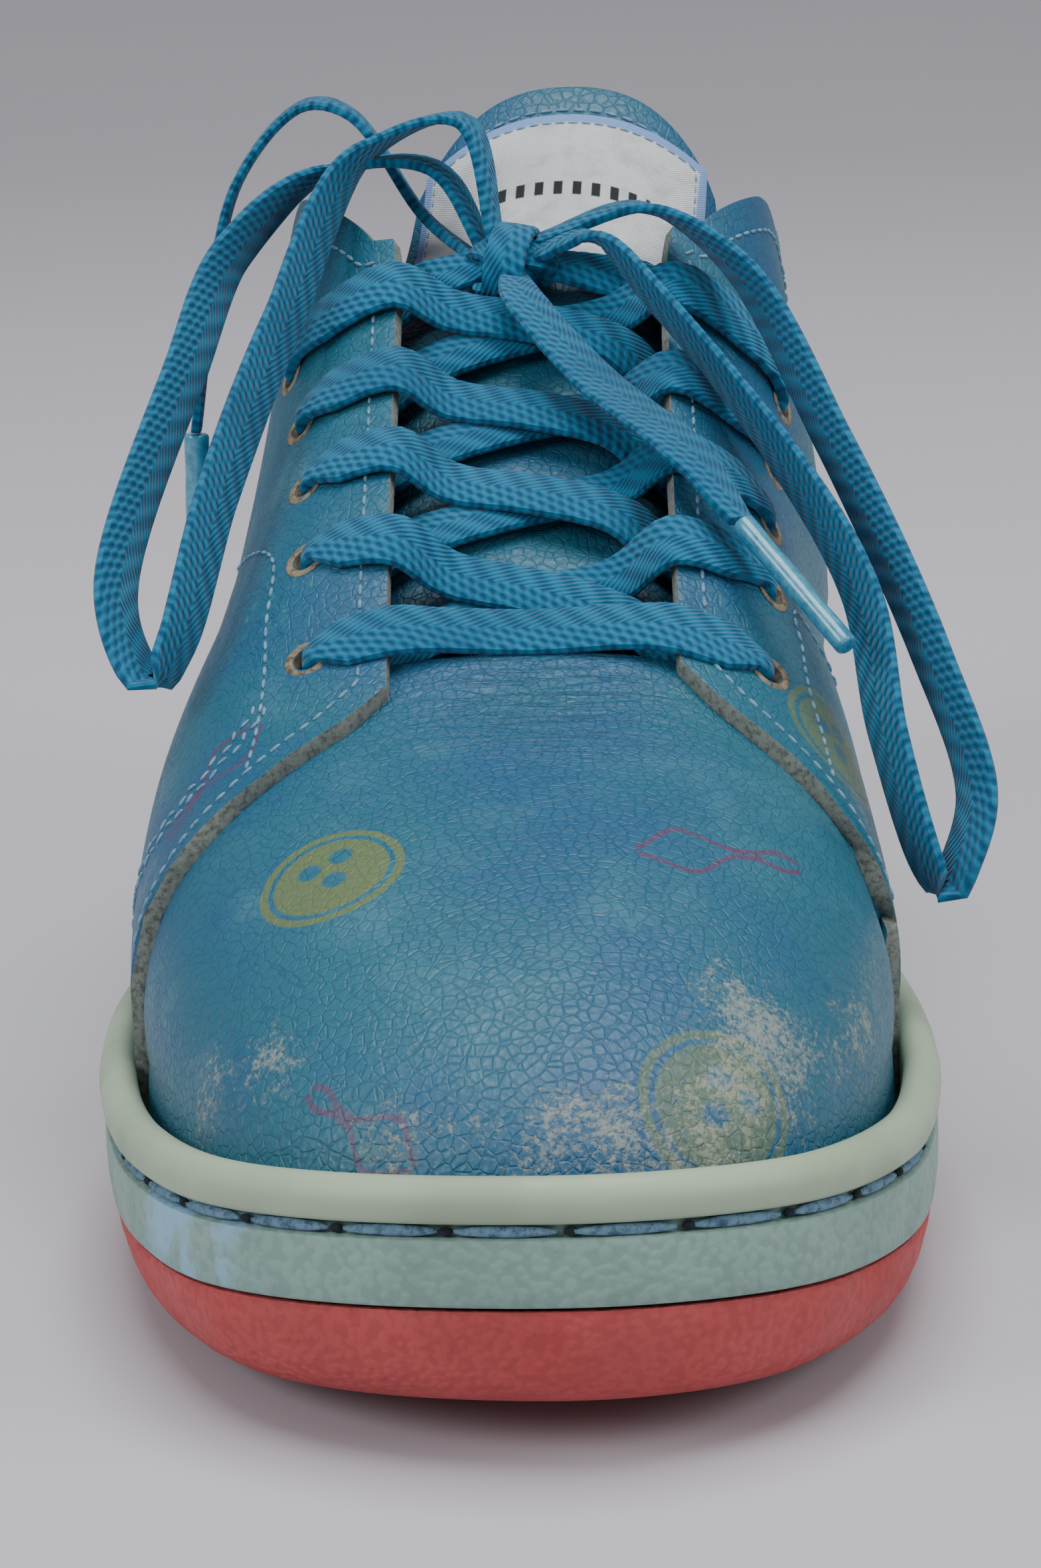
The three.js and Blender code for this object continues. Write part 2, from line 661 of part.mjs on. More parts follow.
// ---------------------------------------------------------------- lace
// A flat ribbon through stations of { at, width, out }. It lies flat to each station's out, or where it
// runs along that, with its width along lay.
function ribbon(stations, lay) {
  const last = stations.length - 1;
  return form(block(1, last, 1), (a, b, c) => {
    const i = Math.round(b * last);
    const { at, width, out } = stations[i];
    const along = stations[Math.min(i + 1, last)].at.clone().sub(stations[Math.max(i - 1, 0)].at).normalize();
    const lies = out && Math.abs(out.dot(along)) < 0.75;
    const flat = lies ? out.clone().cross(along).normalize() : lay.clone().addScaledVector(along, -along.dot(lay)).normalize();
    return at
      .clone()
      .addScaledVector(flat, (a - 0.5) * width)
      .addScaledVector(along.clone().cross(flat), (c - 0.5) * laceThickness);
  });
}

const over = quarterLayer[1] + gap + 0.35 + laceThickness / 2; // lace height on top of an eyestay
const under = liningLayer[0] - gap - 0.6 - laceThickness / 2; // and beneath it
const holeMiddle = (liningLayer[0] + quarterLayer[1]) / 2;

// Stations of [distance from the eyelet, offset, width] for a lace that leaves an eyelet on top or below.
const leaveOver = [
  [0, holeMiddle + gap / 2, laceInHole],
  [0, over - 1.9, laceInHole],
  [0.45, over - 0.75, laceInHole],
  [1.4, over - 0.1, laceInHole + 0.6],
  [2.8, over, laceInHole + 2.2],
  [4.8, over, laceWidth],
];
const leaveUnder = [
  [0, holeMiddle - gap / 2, laceInHole],
  [0, under + 1.9, laceInHole],
  [0.45, under + 0.75, laceInHole],
  [1.4, under + 0.1, laceInHole + 0.6],
  [2.8, under, laceInHole + 2.2],
  [4.8, under, laceWidth],
];

const pastEdge = 2.3; // how far a lace keeps its level past the edge of the throat

// The stations between an eyelet and the throat edge on its own side.
const eyelet = (side, row) => new THREE.Vector2(ridgeX(eyeletD(row)) + side * eyeletX(row), eyeletD(row));
function fromEyelet(profile, side, row, toward) {
  const start = eyelet(side, row);
  const way = toward.clone().sub(start).normalize();
  const stop = (eyeletX(row) - throatAt(start.y) + pastEdge) / Math.abs(way.x);
  return [...profile, [stop, profile.at(-1)[1], laceWidth]].map(([run, offset, width]) => {
    const { x, y } = start.clone().addScaledVector(way, run);
    const lift = offset > holeMiddle + 2 ? 0.2 * row : 0;
    const { point, normal } = surfaceAt(x, y, offset + lift);
    return { at: point, width, out: normal };
  });
}

// A lace from under one eyelet to over another, or over to over for the bar across the first row.
function crossing({ side, row, endRow, profile, middle }) {
  const start = eyelet(side, row);
  const end = eyelet(-side, endRow);
  const first = fromEyelet(profile, side, row, end);
  const last = fromEyelet(leaveOver, -side, endRow, start).reverse();
  const inside = middle.map(([x, offset]) => {
    const across = ridgeX(start.y) + side * x;
    const d = mix(start.y, end.y, (across - start.x) / (end.x - start.x));
    const { point, normal } = surfaceAt(across, d, offset);
    return { at: point, width: crossingWidth, out: normal };
  });
  const travel = last.at(-1).at.clone().sub(first[0].at).normalize();
  const slope = surfaceAt(0.01, (start.y + end.y) / 2, 1).point.sub(surfaceAt(0.01, (start.y + end.y) / 2, 0).point);
  return ribbon([...first, ...inside, ...last], slope.cross(travel));
}

const barMiddle = [12, 0, -12].map((x) => [x, over - 2.4 + Math.abs(x) / 9]);
add(
  "lace_bar",
  crossing({ side: 1, row: 0, endRow: 0, profile: leaveOver, middle: barMiddle }),
  tealLace,
);
const swap = 11.4; // beyond this distance from the middle the two laces no longer overlap
const topMiddle = [swap, 0, -swap].map((x) => [x, 0.25]);
const lowMiddle = [swap, 0, -swap].map((x) => [x, 0.25 - laceThickness - gap - 0.1]);
for (let row = 0; row + 1 < lacedRows; row++) {
  const endRow = row + 1;
  const step = { row, endRow, profile: leaveUnder };
  add(`lace_to_lateral_${endRow + 1}`, crossing({ ...step, side: 1, middle: topMiddle }), tealLace);
  add(`lace_to_medial_${endRow + 1}`, crossing({ ...step, side: -1, middle: lowMiddle }), tealLace);
}

// The knot, in front of the tongue, with the lace ends, loops and rising laces that meet in it.
const knotAt = 168;
const knotSize = [8, 4.6, 5.6];
const knotBase = tonguePoint(knotAt, -0.15);
const knotOut = onTongue(knotAt, -0.15, 1).sub(knotBase);
const knotMiddle = knotBase.clone().addScaledVector(knotOut, knotSize[1] + gap);
const knotTurn = new THREE.Quaternion().setFromUnitVectors(new THREE.Vector3(0, 1, 0), knotOut);
const knotBody = (grow) =>
  form(new THREE.SphereGeometry(1, 10, 6), (...p) =>
    new THREE.Vector3(...p.map((v, k) => v * (knotSize[k] + grow))).applyQuaternion(knotTurn).add(knotMiddle),
  );
add("lace_knot", knotBody(0), tealLace);
const knotClear = toSolid(knotBody(gap));

// A ribbon through points given as [x, distance from the toe, z, width], rounded off between them.
function laceThrough(points, lay, steps, solids = [knotClear]) {
  const at = points.map(([x, d, z]) => new THREE.Vector3(x, atToe(d), z));
  const line = new THREE.CatmullRomCurve3(at, false, "centripetal");
  const stations = Array.from({ length: steps + 1 }, (_, i) => {
    const t = i / steps;
    const k = Math.min(Math.floor(t * (points.length - 1)), points.length - 2);
    const part = t * (points.length - 1) - k;
    const width = mix(points[k][3] ?? laceWidth, points[k + 1][3] ?? laceWidth, part);
    const along = line.getTangent(t);
    return { at: line.getPoint(t), width, out: along.clone().cross(lay(t)).normalize() };
  });
  const cut = solids.reduce((left, solid) => left.subtract(solid), toSolid(ribbon(stations, lay(0))));
  return fromSolid(cut);
}
const { x: knotX, z: knotZ } = knotMiddle;
const knotD = fromToe(knotMiddle.y);
const inKnot = (dx = 0, dd = 0, dz = 0) => [knotX + dx, knotD + dd, knotZ + dz, 3.5];
const alongShoe = (x) => () => new THREE.Vector3(x, 1, 0);

// The two laces that rise from under the last laced eyelets into the knot.
for (const [name, side] of [["medial", 1], ["lateral", -1]]) {
  const row = lacedRows - 1;
  const toward = new THREE.Vector2(0, eyeletD(row) + 3);
  const first = fromEyelet(leaveUnder, side, row, toward);
  const edge = first.at(-1).at;
  const goal = knotMiddle;
  const inside = [0.35, 0.7, 1].map((t) => ({
    at: edge.clone().lerp(goal, t).addScaledVector(knotOut, 1.2 * Math.sin(Math.PI * t)),
    width: mix(laceWidth, 4, t),
  }));
  const travel = goal.clone().sub(first[0].at).normalize();
  const rise = ribbon([...first, ...inside], knotOut.clone().cross(travel));
  add("lace_rise_" + name, fromSolid(toSolid(rise).subtract(knotClear)), tealLace);
}

const lateralLoop = [
  inKnot(-2, 0, 2),
  [-7.5, 173, 137, 5],
  [-22, 171, 132.5],
  [-33, 150, 111.8],
  [-41, 126, 92],
  [-46, 109, 75],
  [-49, 105.5, 70.5],
  [-52, 108, 74],
  [-54, 113, 82],
  [-46, 141, 107],
  [-40, 158, 121],
  [-27, 173, 130],
  [-12, 176, 130, 5],
  inKnot(-3, 2, 0),
];
add("bow_loop_lateral", laceThrough(lateralLoop, alongShoe(0.5), 30), tealLace);
const medialLoop = [
  inKnot(3, -1, 1),
  [11, 158, 121.5, 4],
  [19.8, 148, 114, 6],
  [36, 130, 95],
  [45.8, 112, 79],
  [48.5, 98, 63],
  [53, 88, 47.5],
  [55, 86.5, 44.5],
  [57, 87, 48],
  [59.5, 91, 56],
  [54.7, 105, 72],
  [43.5, 131, 96],
  [31, 153, 117.5],
  [18, 162, 125, 5],
  inKnot(4, 1, 3),
];
add("bow_loop_medial", laceThrough(medialLoop, alongShoe(-0.5), 30), tealLace);
const medialEnd = [
  inKnot(0, -2, -1),
  [1.5, 151, 113.5, 6],
  [11, 138, 104.5],
  [23, 122, 97],
  [30, 113, 89, 4],
];
const lateralEnd = [
  inKnot(-4, 2, -0.5),
  [-14, 178.6, 123, 4],
  [-24, 184, 137, 5],
  [-32, 189, 138],
  [-42, 190, 127],
  [-47.5, 189, 105],
  [-50, 190, 90, 4],
];
const medialTip = [44.5, 97, 73.5];
const lateralTip = [-51, 190, 64];
for (const [name, path, tip, lay] of [
  ["medial", medialEnd, medialTip, new THREE.Vector3(0.7, 0.7, 0)],
  ["lateral", lateralEnd, lateralTip, new THREE.Vector3(0, 1, 0)],
]) {
  add("lace_end_" + name, laceThrough(path, () => lay, 14), tealLace);
  const start = new THREE.Vector3(path.at(-1)[0], atToe(path.at(-1)[1]), path.at(-1)[2]);
  const end = new THREE.Vector3(tip[0], atToe(tip[1]), tip[2]);
  const way = end.sub(start).normalize();
  const turn = new THREE.Quaternion().setFromUnitVectors(new THREE.Vector3(0, 1, 0), way);
  const middle = start.addScaledVector(way, agletLength / 2 + 0.5);
  const rod = new THREE.CylinderGeometry(agletRadius, agletRadius, agletLength, 8, 1);
  add("aglet_" + name, form(rod, (...p) => new THREE.Vector3(...p).applyQuaternion(turn).add(middle)), clearTip);
}

// The origin is on the ground under the middle of the sole.
const across = outline.map((p) => p.x);
shoe.position.x = -(Math.min(...across) + Math.max(...across)) / 2;

export default shoe;
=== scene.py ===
# %% [markdown]
# # A lace-up shoe, piece by piece
# A shoe is a stack of flat materials that were pulled over one form, the last, and joined to a
# sole unit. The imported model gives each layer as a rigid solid. This lesson dresses those solids:
# every layer is made again as a smooth sheet on the same last, with real edges, seams and wear.

# %% Start
import math

import bmesh
import bpy
import numpy as np
from mathutils import Matrix, Vector, noise
from mathutils.bvhtree import BVHTree


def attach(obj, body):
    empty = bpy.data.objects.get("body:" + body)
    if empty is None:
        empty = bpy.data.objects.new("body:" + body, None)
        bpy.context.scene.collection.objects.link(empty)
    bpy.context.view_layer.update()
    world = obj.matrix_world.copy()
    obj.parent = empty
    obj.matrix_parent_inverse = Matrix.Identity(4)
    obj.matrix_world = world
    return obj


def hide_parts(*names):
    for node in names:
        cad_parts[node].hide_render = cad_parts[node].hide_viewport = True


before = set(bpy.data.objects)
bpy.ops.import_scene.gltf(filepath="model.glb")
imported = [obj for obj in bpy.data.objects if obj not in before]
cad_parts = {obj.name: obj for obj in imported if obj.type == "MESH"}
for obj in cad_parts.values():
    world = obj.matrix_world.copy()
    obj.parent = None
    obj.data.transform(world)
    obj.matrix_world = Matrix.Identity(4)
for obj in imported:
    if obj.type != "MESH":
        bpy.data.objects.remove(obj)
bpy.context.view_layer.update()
MM = 0.001
SOLE_LENGTH = 300.0
HALF_LENGTH = SOLE_LENGTH / 2
BALL_WIDTH = 108.5
print("nodes:", len(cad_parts))

# %% [markdown]
# The outline of the sole is the master curve of the whole shoe. It is drawn as shares of the
# length and the ball width, as a pattern maker grades it, and then walked in even steps, so
# that one number u (0 at the toe, a half at the heel) names any place round the edge.

# %% Outline
EDGE_SHARES = [
    (0, 0.055), (0.012, 0.2), (0.045, 0.325), (0.12, 0.435), (0.21, 0.48), (0.29, 0.484),
    (0.39, 0.455), (0.5, 0.395), (0.62, 0.35), (0.76, 0.345), (0.87, 0.335), (0.95, 0.26),
    (0.988, 0.14), (1, 0), (0.988, -0.15), (0.95, -0.27), (0.87, -0.345), (0.76, -0.37),
    (0.62, -0.405), (0.5, -0.455), (0.41, -0.496), (0.32, -0.514), (0.23, -0.495),
    (0.14, -0.435), (0.065, -0.33), (0.02, -0.17),
]
HALF = 600


def through(points, per, closed=False):
    """A smooth line through points, with per samples between each two."""
    pts = np.asarray(points, float)
    n = len(pts)
    t = (np.arange(per) / per)[:, None]
    out = []
    for k in range(n if closed else n - 1):
        p1, p2 = pts[k], pts[(k + 1) % n]
        p0 = pts[k - 1] if closed or k else 2 * p1 - p2
        p3 = pts[(k + 2) % n] if closed or k + 2 < n else 2 * p2 - p1
        a, b, c = (np.linalg.norm(q - p) ** 0.5 for p, q in ((p0, p1), (p1, p2), (p2, p3)))
        m1 = ((p1 - p0) / a - (p2 - p0) / (a + b) + (p2 - p1) / b) * b
        m2 = ((p2 - p1) / b - (p3 - p1) / (b + c) + (p3 - p2) / c) * b
        out.append(p1 + m1 * t + (3 * (p2 - p1) - 2 * m1 - m2) * t**2 + (2 * (p1 - p2) + m1 + m2) * t**3)
    if not closed:
        out.append(pts[-1:])
    return np.vstack(out)


def run_of(points):
    """The distance walked along points, from 0."""
    return np.concatenate([[0], np.cumsum(np.linalg.norm(np.diff(points, axis=0), axis=1))])


def evenly(points, count):
    """count + 1 points at even distances along a line."""
    run = run_of(points)
    want = np.linspace(0, run[-1], count + 1)
    return np.stack([np.interp(want, run, points[:, k]) for k in range(points.shape[1])], axis=1)


def make_outline():
    dense = through([(x * BALL_WIDTH, (s - 0.5) * SOLE_LENGTH) for s, x in EDGE_SHARES], 150, True)
    toe, heel = int(dense[:, 1].argmin()), int(dense[:, 1].argmax())
    dense = np.roll(dense, -toe, axis=0)
    heel = (heel - toe) % len(dense)
    medial = evenly(dense[: heel + 1], HALF)[:-1]
    lateral = evenly(np.vstack([dense[heel:], dense[:1]]), HALF)[:-1]
    return np.vstack([medial, lateral])


OUTLINE = make_outline()
TANGENT = np.roll(OUTLINE, -9, axis=0) - np.roll(OUTLINE, 8, axis=0)
TANGENT /= np.linalg.norm(TANGENT, axis=1)[:, None]
MIDDLE = -(OUTLINE[:, 0].min() + OUTLINE[:, 0].max()) / 2
PERIMETER = float(run_of(np.vstack([OUTLINE, OUTLINE[:1]]))[-1])


def edge_at(u, inset):
    """The edge of the sole at u, moved inwards by inset."""
    s = np.mod(u, 1) * 2 * HALF
    i = np.floor(s).astype(int)
    f = (s - i)[..., None]
    i %= 2 * HALF
    j = (i + 1) % (2 * HALF)
    p = OUTLINE[i] * (1 - f) + OUTLINE[j] * f
    t = TANGENT[i] * (1 - f) + TANGENT[j] * f
    inset = np.asarray(inset)[..., None]
    return p + np.stack([-t[..., 1], t[..., 0]], axis=-1) * inset


print("sole edge: %.0f mm round, %.1f mm wide" % (PERIMETER, np.ptp(OUTLINE[:, 0])))

# %% [markdown]
# The camera stands low in front of the toe and looks down a little, with a long lens.

# %% Camera
LENS, SENSOR = 99.1106, 36.0
CAMERA_AT = ((16.6 + MIDDLE) * MM, -0.6035, 0.2009)
PITCH, YAW, ROLL = (math.radians(a) for a in (14.58, -1.73, -1.94))


def make_camera():
    data = bpy.data.cameras.new("camera")
    data.sensor_width = SENSOR
    data.sensor_fit = "AUTO"
    data.lens = LENS
    data.clip_start, data.clip_end = 0.01, 20
    camera = bpy.data.objects.new("camera", data)
    ahead = Vector((math.sin(YAW) * math.cos(PITCH), math.cos(YAW) * math.cos(PITCH), -math.sin(PITCH)))
    right = ahead.cross(Vector((0, 0, 1))).normalized()
    up = right.cross(ahead)
    right, up = (
        right * math.cos(ROLL) + up * math.sin(ROLL),
        up * math.cos(ROLL) - right * math.sin(ROLL),
    )
    turn = Matrix((right, up, -ahead)).transposed().to_4x4()
    camera.matrix_world = Matrix.Translation(CAMERA_AT) @ turn
    bpy.context.scene.collection.objects.link(camera)
    bpy.context.scene.camera = camera


make_camera()
print("lens: %.1f mm" % bpy.context.scene.camera.data.lens)

# %% [markdown]
# The last is the form inside the shoe. Its section is a rounded square that changes from toe to
# heel, and the curves below are read off at a distance d from the toe. Each layer of the upper
# lies between two distances out from it, so a single function places every sheet, seam and hole.

# %% The last
TOE_SPRING, SPRING_START = 9.0, 80.0
OUTSOLE_HEIGHT, CUP_HEIGHT, CUP_FLOOR, CUP_WALL = 12.5, 16.0, 4.5, 4.4
STITCH_HEIGHT, GROOVE_DEPTH, GROOVE_WIDTH = 9.6, 1.8, 1.6
FOAM_HEIGHT, BOARD_THICKNESS, FOOTBED_THICKNESS = 5.0, 1.6, 3.4
GAP, FEATHER_GAP = 0.3, 0.9
LINING = (0.0, 0.6)
STIFF = (1.0, 1.5)
VAMP = (1.9, 3.1)
STAY = (1.9, 2.6)
QUARTER = (3.4, 4.6)
OVERLAY = (5.05, 6.25)
BALL_AT, HEEL_FAN_AT = 100.5, 250.0
QUARTER_START, OVERLAY_START = 72.0, 246.0
BALL_BULGE = 2.6
RIDGE = math.pi / 2


def ease(a, b, v):
    t = np.clip((np.asarray(v, float) - a) / (b - a), 0, 1)
    return t * t * (3 - 2 * t)


def curve(*stations):
    """Reads a smooth curve through (position, value) stations."""
    x, v = np.array(stations, float).T
    lo, hi = np.maximum(np.arange(len(x)) - 1, 0), np.minimum(np.arange(len(x)) + 1, len(x) - 1)
    slope = (v[hi] - v[lo]) / (x[hi] - x[lo])

    def read(at):
        at = np.clip(np.asarray(at, float), x[0], x[-1])
        i = np.clip(np.searchsorted(x, at, "right") - 1, 0, len(x) - 2)
        h = x[i + 1] - x[i]
        t = (at - x[i]) / h
        return (
            v[i] * (1 + 2 * t) * (1 - t) ** 2
            + slope[i] * h * t * (1 - t) ** 2
            + v[i + 1] * t * t * (3 - 2 * t)
            + slope[i + 1] * h * t * t * (t - 1)
        )

    return read


def spring_at(y):
    return TOE_SPRING * np.clip((SPRING_START - y - SOLE_LENGTH / 2) / SPRING_START, 0, 1) ** 2


def outsole_top(y):
    return spring_at(y) + OUTSOLE_HEIGHT


def floor_top(y):
    return outsole_top(y) + GAP + CUP_FLOOR


def feather_inset(y):
    d = y + SOLE_LENGTH / 2
    return (
        CUP_WALL
        + FEATHER_GAP
        + VAMP[1]
        + (QUARTER[1] - VAMP[1]) * ease(QUARTER_START - 8, QUARTER_START + 4, d)
        + (OVERLAY[1] - QUARTER[1]) * ease(OVERLAY_START - 12, OVERLAY_START + 2, d)
    )


ridge_x = curve((0, 4), (98, 2.2), (165, 2.2), (190, 3.2), (210, 4), (250, 0.5), (300, 0))
ridge_z = curve(
    (0, 58), (30, 59.5), (60, 62), (88, 66.5), (101, 72.5), (117, 85), (134, 95.5), (149, 105),
    (164, 116.5), (178, 132), (190, 150), (206, 172), (230, 182), (300, 182),
)
squareness = curve((0, 2.4), (40, 2.6), (88, 3), (134, 3), (170, 3.1), (210, 3.2), (300, 3))
medial_spread = curve(
    (112, 0), (134, 3), (149, 5.5), (164, 9), (178, 11), (190, 9.5), (210, 8), (235, 5), (270, 1), (300, 0)
)
lateral_spread = curve((140, 0), (165, 1), (200, 1), (235, 3), (270, 1), (300, 0))


def last_point(u, psi):
    """A point of the last: u runs round the edge, psi climbs from the sole to the ridge."""
    u, psi = np.broadcast_arrays(np.asarray(u, float), np.asarray(psi, float))
    o = edge_at(u, feather_inset(edge_at(u, np.zeros_like(u))[..., 1]))
    half = SOLE_LENGTH / 2
    cy = np.clip(o[..., 1], BALL_AT - half, HEEL_FAN_AT - half)
    cx = ridge_x(cy + half)
    n = squareness(o[..., 1] + half)
    reach = np.maximum(np.cos(psi), 0) ** (2 / n)
    y = cy + (o[..., 1] - cy) * reach
    low = floor_top(y) + 2 * GAP
    z = low + (ridge_z(y + half) - low) * np.sin(np.clip(psi, 0, RIDGE)) ** (2 / n)
    rise = np.clip((z - low - 12) / 40, 0, 1)
    spread = np.where(o[..., 0] > cx, medial_spread(y + half), lateral_spread(y + half))
    bulge = ease(25, 75, y + half) * (1 - ease(110, 170, y + half))
    bow = spread * ease(0, 1, (z - low - 17) / (68 - low - 17)) + BALL_BULGE * bulge * 4 * rise * (1 - rise)
    x = cx + (o[..., 0] - cx) * reach + bow * reach * np.clip((o[..., 0] - cx) / 15, -1, 1)
    return np.stack([x, y, z], axis=-1)


def unit(v):
    return v / np.maximum(np.linalg.norm(v, axis=-1, keepdims=True), 1e-12)


def last_normal(u, psi):
    u, psi = np.broadcast_arrays(np.asarray(u, float), np.asarray(psi, float))
    along = last_point(u + 0.0015, psi) - last_point(u - 0.0015, psi)
    up = last_point(u, np.minimum(psi + 0.012, RIDGE)) - last_point(u, np.maximum(psi - 0.012, 0))
    side = unit(np.cross(along, up))
    d = last_point(u, np.full_like(psi, RIDGE))[..., 1] + SOLE_LENGTH / 2
    top = unit(np.stack([np.zeros_like(d), ridge_z(d - 0.5) - ridge_z(d + 0.5), np.ones_like(d)], axis=-1))
    return np.where((psi > RIDGE - 0.02)[..., None], top, side)


def on_layer(u, psi, offset):
    p = last_point(u, psi) + last_normal(u, psi) * np.asarray(offset, float)[..., None]
    p[..., 2] = np.maximum(p[..., 2], floor_top(p[..., 1]) + 2 * GAP)
    return p


def u_at(d, side):
    """Where the feather edge lies at a distance from the toe, on the medial (1) or lateral (-1) side."""
    d = np.asarray(d, float)
    toe, heel = np.full_like(d, 0.0 if side > 0 else 1.0), np.full_like(d, 0.5)
    for _ in range(30):
        mid = (toe + heel) / 2
        y = edge_at(mid, feather_inset(edge_at(mid, np.zeros_like(mid))[..., 1]))[..., 1]
        ahead = y + SOLE_LENGTH / 2 < d
        toe, heel = np.where(ahead, mid, toe), np.where(ahead, heel, mid)
    return (toe + heel) / 2


def surface_at(x, d, offset):
    """The layer at an offset over a point in plan, and the way out of it."""
    x, d = np.broadcast_arrays(np.asarray(x, float), np.asarray(d, float))
    u = np.where(x < ridge_x(d), u_at(d, -1), u_at(d, 1))
    lo, hi = np.full_like(x, 0.05), np.full_like(x, RIDGE)
    for _ in range(26):
        mid = (lo + hi) / 2
        wide = np.abs(last_point(u, mid)[..., 0] - ridge_x(d)) > np.abs(x - ridge_x(d))
        lo, hi = np.where(wide, mid, lo), np.where(wide, hi, mid)
    psi = (lo + hi) / 2
    normal = last_normal(u, psi)
    return last_point(u, psi) + normal * np.asarray(offset, float)[..., None], normal


def nearest(places, side, offset):
    """The points of a layer nearest to places (across, from the toe, up), and the ways out there."""
    found = []
    for x, d, z in places:
        u, psi, du, dpsi = (0.25 if side > 0 else 0.75), RIDGE / 2, 0.25, RIDGE / 2
        for _ in range(5):
            us, psis = np.meshgrid(
                np.linspace(u - du, u + du, 41), np.clip(np.linspace(psi - dpsi, psi + dpsi, 41), 0, RIDGE)
            )
            gap = ((on_layer(us, psis, np.full(us.shape, offset)) - (x, d - HALF_LENGTH, z)) ** 2).sum(-1)
            best = np.unravel_index(np.argmin(gap), gap.shape)
            u, psi, du, dpsi = us[best], psis[best], du / 6, dpsi / 6
        found.append((u, psi))
    u, psi = np.array(found).T
    return on_layer(u, psi, np.full(len(u), offset)), last_normal(u, psi)


print("ball girth layer: %s" % np.round(on_layer(0.12, 1.2, 3.1), 1))

# %% [markdown]
# Finished pieces all pass through one function. It scales millimetres to metres, moves the
# piece to the shoe's own frame, shades it smooth except over real edges, and says which body the
# piece rides on, which solids it stands for and which finish it takes.

# %% Finishing a piece
SHARP = math.radians(38)
PAINTS = {}


def finished(name, bm, slot, stands_for=(), body="shoe", paints=(), sharp=SHARP):
    """Makes a bmesh in millimetres a piece of the shoe, with its body, solids and finish; slot is the finish
    when no paints are given.
    """
    for v in bm.verts:
        v.co = ((v.co.x + MIDDLE) * MM, v.co.y * MM, v.co.z * MM)
    for face in bm.faces:
        face.smooth = True
    for edge in bm.edges:
        edge.smooth = not (edge.is_manifold and edge.calc_face_angle(0) > sharp)
    mesh = bpy.data.meshes.new(name)
    bm.to_mesh(mesh)
    bm.free()
    piece = bpy.data.objects.new(name, mesh)
    bpy.context.scene.collection.objects.link(piece)
    for paint in paints or (slot,):
        mesh.materials.append(PAINTS[paint])
    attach(piece, body)
    if stands_for:
        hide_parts(*stands_for)
    return piece


def grid(points):
    """A bmesh grid whose corners lie at points[i][j]. Corners that come together are joined."""
    rows, cols = points.shape[:2]
    bm = bmesh.new()
    bmesh.ops.create_grid(bm, x_segments=rows - 1, y_segments=cols - 1, size=0.5)
    uv = bm.loops.layers.uv.new("cut")
    bm.verts.ensure_lookup_table()
    place = {}
    for v in bm.verts:
        i, j = round((v.co.x + 0.5) * (rows - 1)), round((v.co.y + 0.5) * (cols - 1))
        place[v.index] = (i, j)
    middle = points[:, cols // 2]
    across = run_of(middle)
    down = [run_of(points[i]) for i in range(rows)]
    for face in bm.faces:
        for loop in face.loops:
            i, j = place[loop.vert.index]
            loop[uv].uv = (across[i] * MM, down[i][j] * MM)
    for v in bm.verts:
        v.co = points[place[v.index]]
    bmesh.ops.remove_doubles(bm, verts=bm.verts, dist=0.004)
    bmesh.ops.recalc_face_normals(bm, faces=bm.faces)
    return bm


SHOE_HEART = (0, 0, 45)


def outward(bm):
    """Turns an open sheet so that it faces away from a point inside the shoe."""
    inside = sum(1 if f.normal.dot(f.calc_center_median() - Vector(SHOE_HEART)) > 0 else -1 for f in bm.faces)
    if inside < 0:
        bmesh.ops.reverse_faces(bm, faces=bm.faces)


# %% [markdown]
# The tongue is a padded flap that lies inside the throat. Its top surface is given here as a
# function too, because the label, the knot and the stitching all rest on it.

# %% Tongue surface
THROAT_HALF, THROAT_START, THROAT_FLARE, FLARE_START = 19.3, 94.0, 10.0, 160.0
CORNER_AT, CORNER_HEIGHT, ANKLE_HEIGHT, HEEL_HEIGHT = 191.0, 126.0, 80.0, 90.0
TONGUE_START, TONGUE_END, TONGUE_HALF, TONGUE_LEAN = 92.0, 194.0, 28.0, 4.0
LACE_WIDTH, CROSSING_WIDTH, LACE_THICKNESS, LACE_IN_HOLE = 7.0, 6.2, 1.5, 3.0
tongue_z = curve(
    (TONGUE_START, 80), (134, 93), (149, 101), (160, 108), (172, 117), (183, 127.5), (TONGUE_END, 139.5)
)
tongue_reach = curve(
    (TONGUE_START, TONGUE_HALF * 0.71), (134, TONGUE_HALF * 0.9), (164, TONGUE_HALF),
    (174, TONGUE_HALF * 0.93), (184, TONGUE_HALF * 0.83), (TONGUE_END, TONGUE_HALF * 0.76),
)
tongue_drop = curve((TONGUE_START, 4), (104, 4.6), (134, 6.8), (164, 11.5), (179, 13), (TONGUE_END, 9))


def tongue_point(d, v):
    d, v = np.broadcast_arrays(np.asarray(d, float), np.asarray(v, float))
    x = ridge_x(d) + TONGUE_LEAN * ease(150, TONGUE_END, d) + v * tongue_reach(d)
    back = np.maximum(d, BALL_AT)
    room = 1.2 + (1.3 * (LACE_THICKNESS + 2.4) - 1.2) * ease(TONGUE_START + 7, TONGUE_START + 13, d)
    ceiling = surface_at(x, back, 0)[0][..., 2] + ridge_z(d) - ridge_z(back) - room
    own = tongue_z(d) - tongue_drop(d) * np.abs(v) ** 2.2
    return np.stack([x, d - SOLE_LENGTH / 2, -np.logaddexp(-own, -ceiling)], axis=-1)


